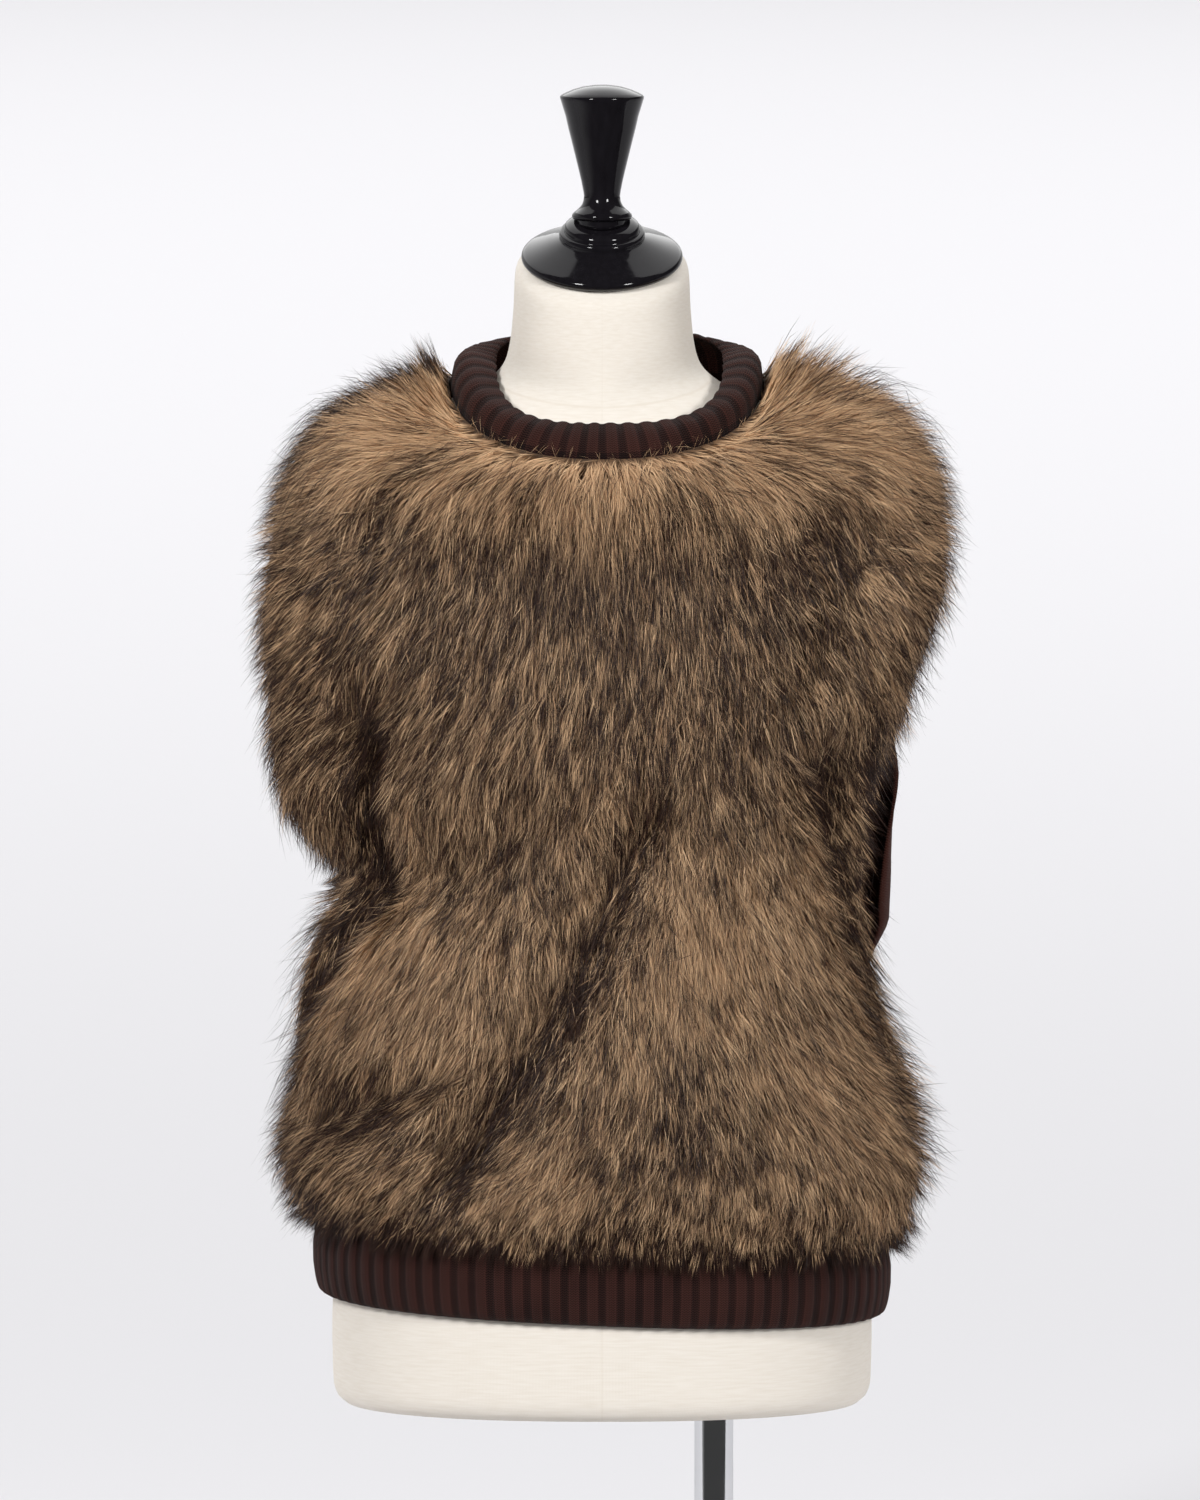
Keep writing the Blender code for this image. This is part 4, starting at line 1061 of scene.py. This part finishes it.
def growLocks():
    count, each = fur["locks"], fur["strandsPerLock"]
    lockRow, lockColumn = scatter(count)
    lockTurn = np.radians(onCloth("turn", lockRow, lockColumn) + chance.normal(0, fur["lockSwing"], count))
    lockLength = fur["length"] * chance.uniform(*fur["lockLength"], count)
    lockRise = chance.normal(0, fur["lockRise"], count)
    lockTip = chance.uniform(*fur["liftedTip"], count) * (chance.random(count) < fur["lifted"])
    lockTip *= 1 + fur["liftedAtSide"] * onCloth("atSide", lockRow, lockColumn)
    lockTip += fur["standTip"] * onCloth("stand", lockRow, lockColumn)
    lockFringe = chance.uniform(*fur["fringe"], count)
    fromHem = onCloth("toHem", lockRow, lockColumn)
    lockFringe += fur["underFringe"] * (1 - smoothBetween(fromHem, *fur["underFringeReach"]))
    lockFringe -= fur["shortAtLeft"] * (1 - smoothBetween(lockColumn / fur["columns"], *fur["shortShare"]))
    lockShade = onCloth("shade", lockRow, lockColumn) + chance.normal(0, fur["lockShade"], count)
    lockTone = chance.random(count)
    lock = np.repeat(np.arange(count), each)
    total = len(lock)
    rowStep, columnStep = onCloth("rowStep", lockRow, lockColumn), onCloth("columnStep", lockRow, lockColumn)
    row = lockRow[lock] + chance.normal(0, fur["lockSpread"], total) / rowStep[lock]
    row = np.clip(row, 0, fur["rows"])
    column = lockColumn[lock] + chance.normal(0, fur["lockSpread"], total) / columnStep[lock]
    column = np.clip(column, 0, fur["columns"])
    turn = lockTurn[lock] + np.radians(chance.normal(0, fur["strandSwing"], total))
    length = lockLength[lock] * chance.uniform(*fur["strandLength"], total)
    longest = onCloth("toHem", row, column) + lockFringe[lock] + chance.uniform(0, fur["endSpread"], total)
    length = np.minimum(length, longest)
    # strands that reach a parting end there, and those that grow in it are short and dark with painted shade
    shares = np.array(fur["partingReach"])
    met = np.stack([onCloth("parting", *laidPlace(row, column, turn, length * share)[:2]) for share in shares])
    inside = onCloth("parting", row, column)
    reached = met > fur["partingEdge"]
    end = np.where(reached.any(axis=0), shares[reached.argmax(axis=0)] + fur["partingOverlap"], 1)
    length *= np.maximum(end, fur["partingLength"] * smoothBetween(inside, *fur["partingRoots"]))
    # darker tips at a parting: the tips that meet there, with painted shade in the crease
    partingTipsAndShade = np.maximum(inside, fur["partingTip"] * met.max(axis=0))
    rise = lockRise[lock] + chance.uniform(*fur["strandRise"], total)
    (bendShare, bendRise), tipShare = fur["lay"]
    shape = ((bendShare, bendRise * rise, 0), (tipShare, rise, lockTip[lock]))
    spines = growSpines(row, column, turn, length, shape)
    offset = spines[:, 0] - onCloth("point", lockRow, lockColumn)[lock]
    spines[:, 1] -= offset * fur["gather"][0]
    spines[:, 2] -= offset * fur["gather"][1]
    shade = lockShade[lock] + partingTipsAndShade + chance.normal(0, fur["strandShade"], total)
    tone = np.clip(0.6 * lockTone[lock] + 0.4 * chance.random(total), 0, 1)
    widths = np.array([[1.0, 0.9, 0.0]]) * fur["strandWidth"] * chance.uniform(*fur["widthSpread"], (total, 1))
    return spines, widths, unit(onCloth("normal", row, column)), toneMap(shade, tone)


def growGuardHairs():
    row, column = scatter(fur["guardHairs"])
    atSide = onCloth("atSide", row, column)
    kept = chance.random(len(row)) < fur["guardOnFront"] + (1 - fur["guardOnFront"]) * atSide
    row, column, atSide = row[kept], column[kept], atSide[kept]
    count = len(row)
    turn = np.radians(onCloth("turn", row, column) + chance.normal(0, fur["guardSwing"], count))
    length = fur["length"] * chance.uniform(*fur["guardLength"], count)
    length = np.minimum(length, onCloth("toHem", row, column) + chance.uniform(*fur["guardOverHem"], count))
    rise = chance.uniform(*fur["guardRise"], count)
    stray = chance.uniform(*fur["strayTip"], count)
    stray *= chance.random(count) < fur["stray"] + fur["strayAtSide"] * atSide
    shape = ((0.25, 0.62 * rise, 0.1 * stray), (0.52, 0.92 * rise, 0.45 * stray), (0.84, rise, stray))
    spines = growSpines(row, column, turn, length, shape)
    widths = np.array([[1.0, 1.0, 0.75, 0.0]]) * fur["guardWidth"] * chance.uniform(*fur["widthSpread"], (count, 1))
    shade = fur["guardShade"][0] + chance.normal(0, fur["guardShade"][1], count)
    return spines, widths, unit(onCloth("normal", row, column)), toneMap(shade, chance.random(count))


def growNeckWisps():
    # short loose strands that stray over the neck band's seam
    count = fur["neckWisps"]
    row = fur["rows"] - chance.random(count) * fur["wispRows"]
    column = chance.random(count) * fur["columns"]
    turn = np.radians(chance.normal(180, fur["wispSwing"], count))
    length = chance.uniform(*fur["wispLength"], count)
    lift = chance.uniform(*fur["wispLift"], count)
    spines = growSpines(row, column, turn, length, ((0.3, 1, 0.3 * lift), (0.6, 1, 0.8 * lift), (0.95, 1, lift)))
    widths = np.array([[1.0, 1.0, 0.75, 0.0]]) * fur["guardWidth"] * chance.uniform(*fur["wispWidth"], (count, 1))
    shade = chance.uniform(0, 0.9, count)
    return spines, widths, unit(onCloth("normal", row, column)), toneMap(shade, chance.random(count))


strandPieces = []
spines, widths, normal, maps = growLocks()
order = np.array_split(np.arange(len(spines)), fur["pieces"])  # each piece is a stretch of rows
for number, part in enumerate(order, 1):
    places = (0.0, fur["bend"], 1.0)
    strandPieces.append(strandMesh(f"fur_pile_{number}", spines[part], widths[part], normal[part], places, maps[part]))
spines, widths, normal, maps = (np.concatenate(pair) for pair in zip(growGuardHairs(), growNeckWisps()))
strandPieces.append(strandMesh("fur_guard_hairs", spines, widths, normal, (0.0, 0.3, 0.65, 1.0), maps))
for piece in strandPieces:
    finishPiece(piece, strandFur)
print("fur grown:", sum(len(piece.data.polygons) for piece in strandPieces), "faces")
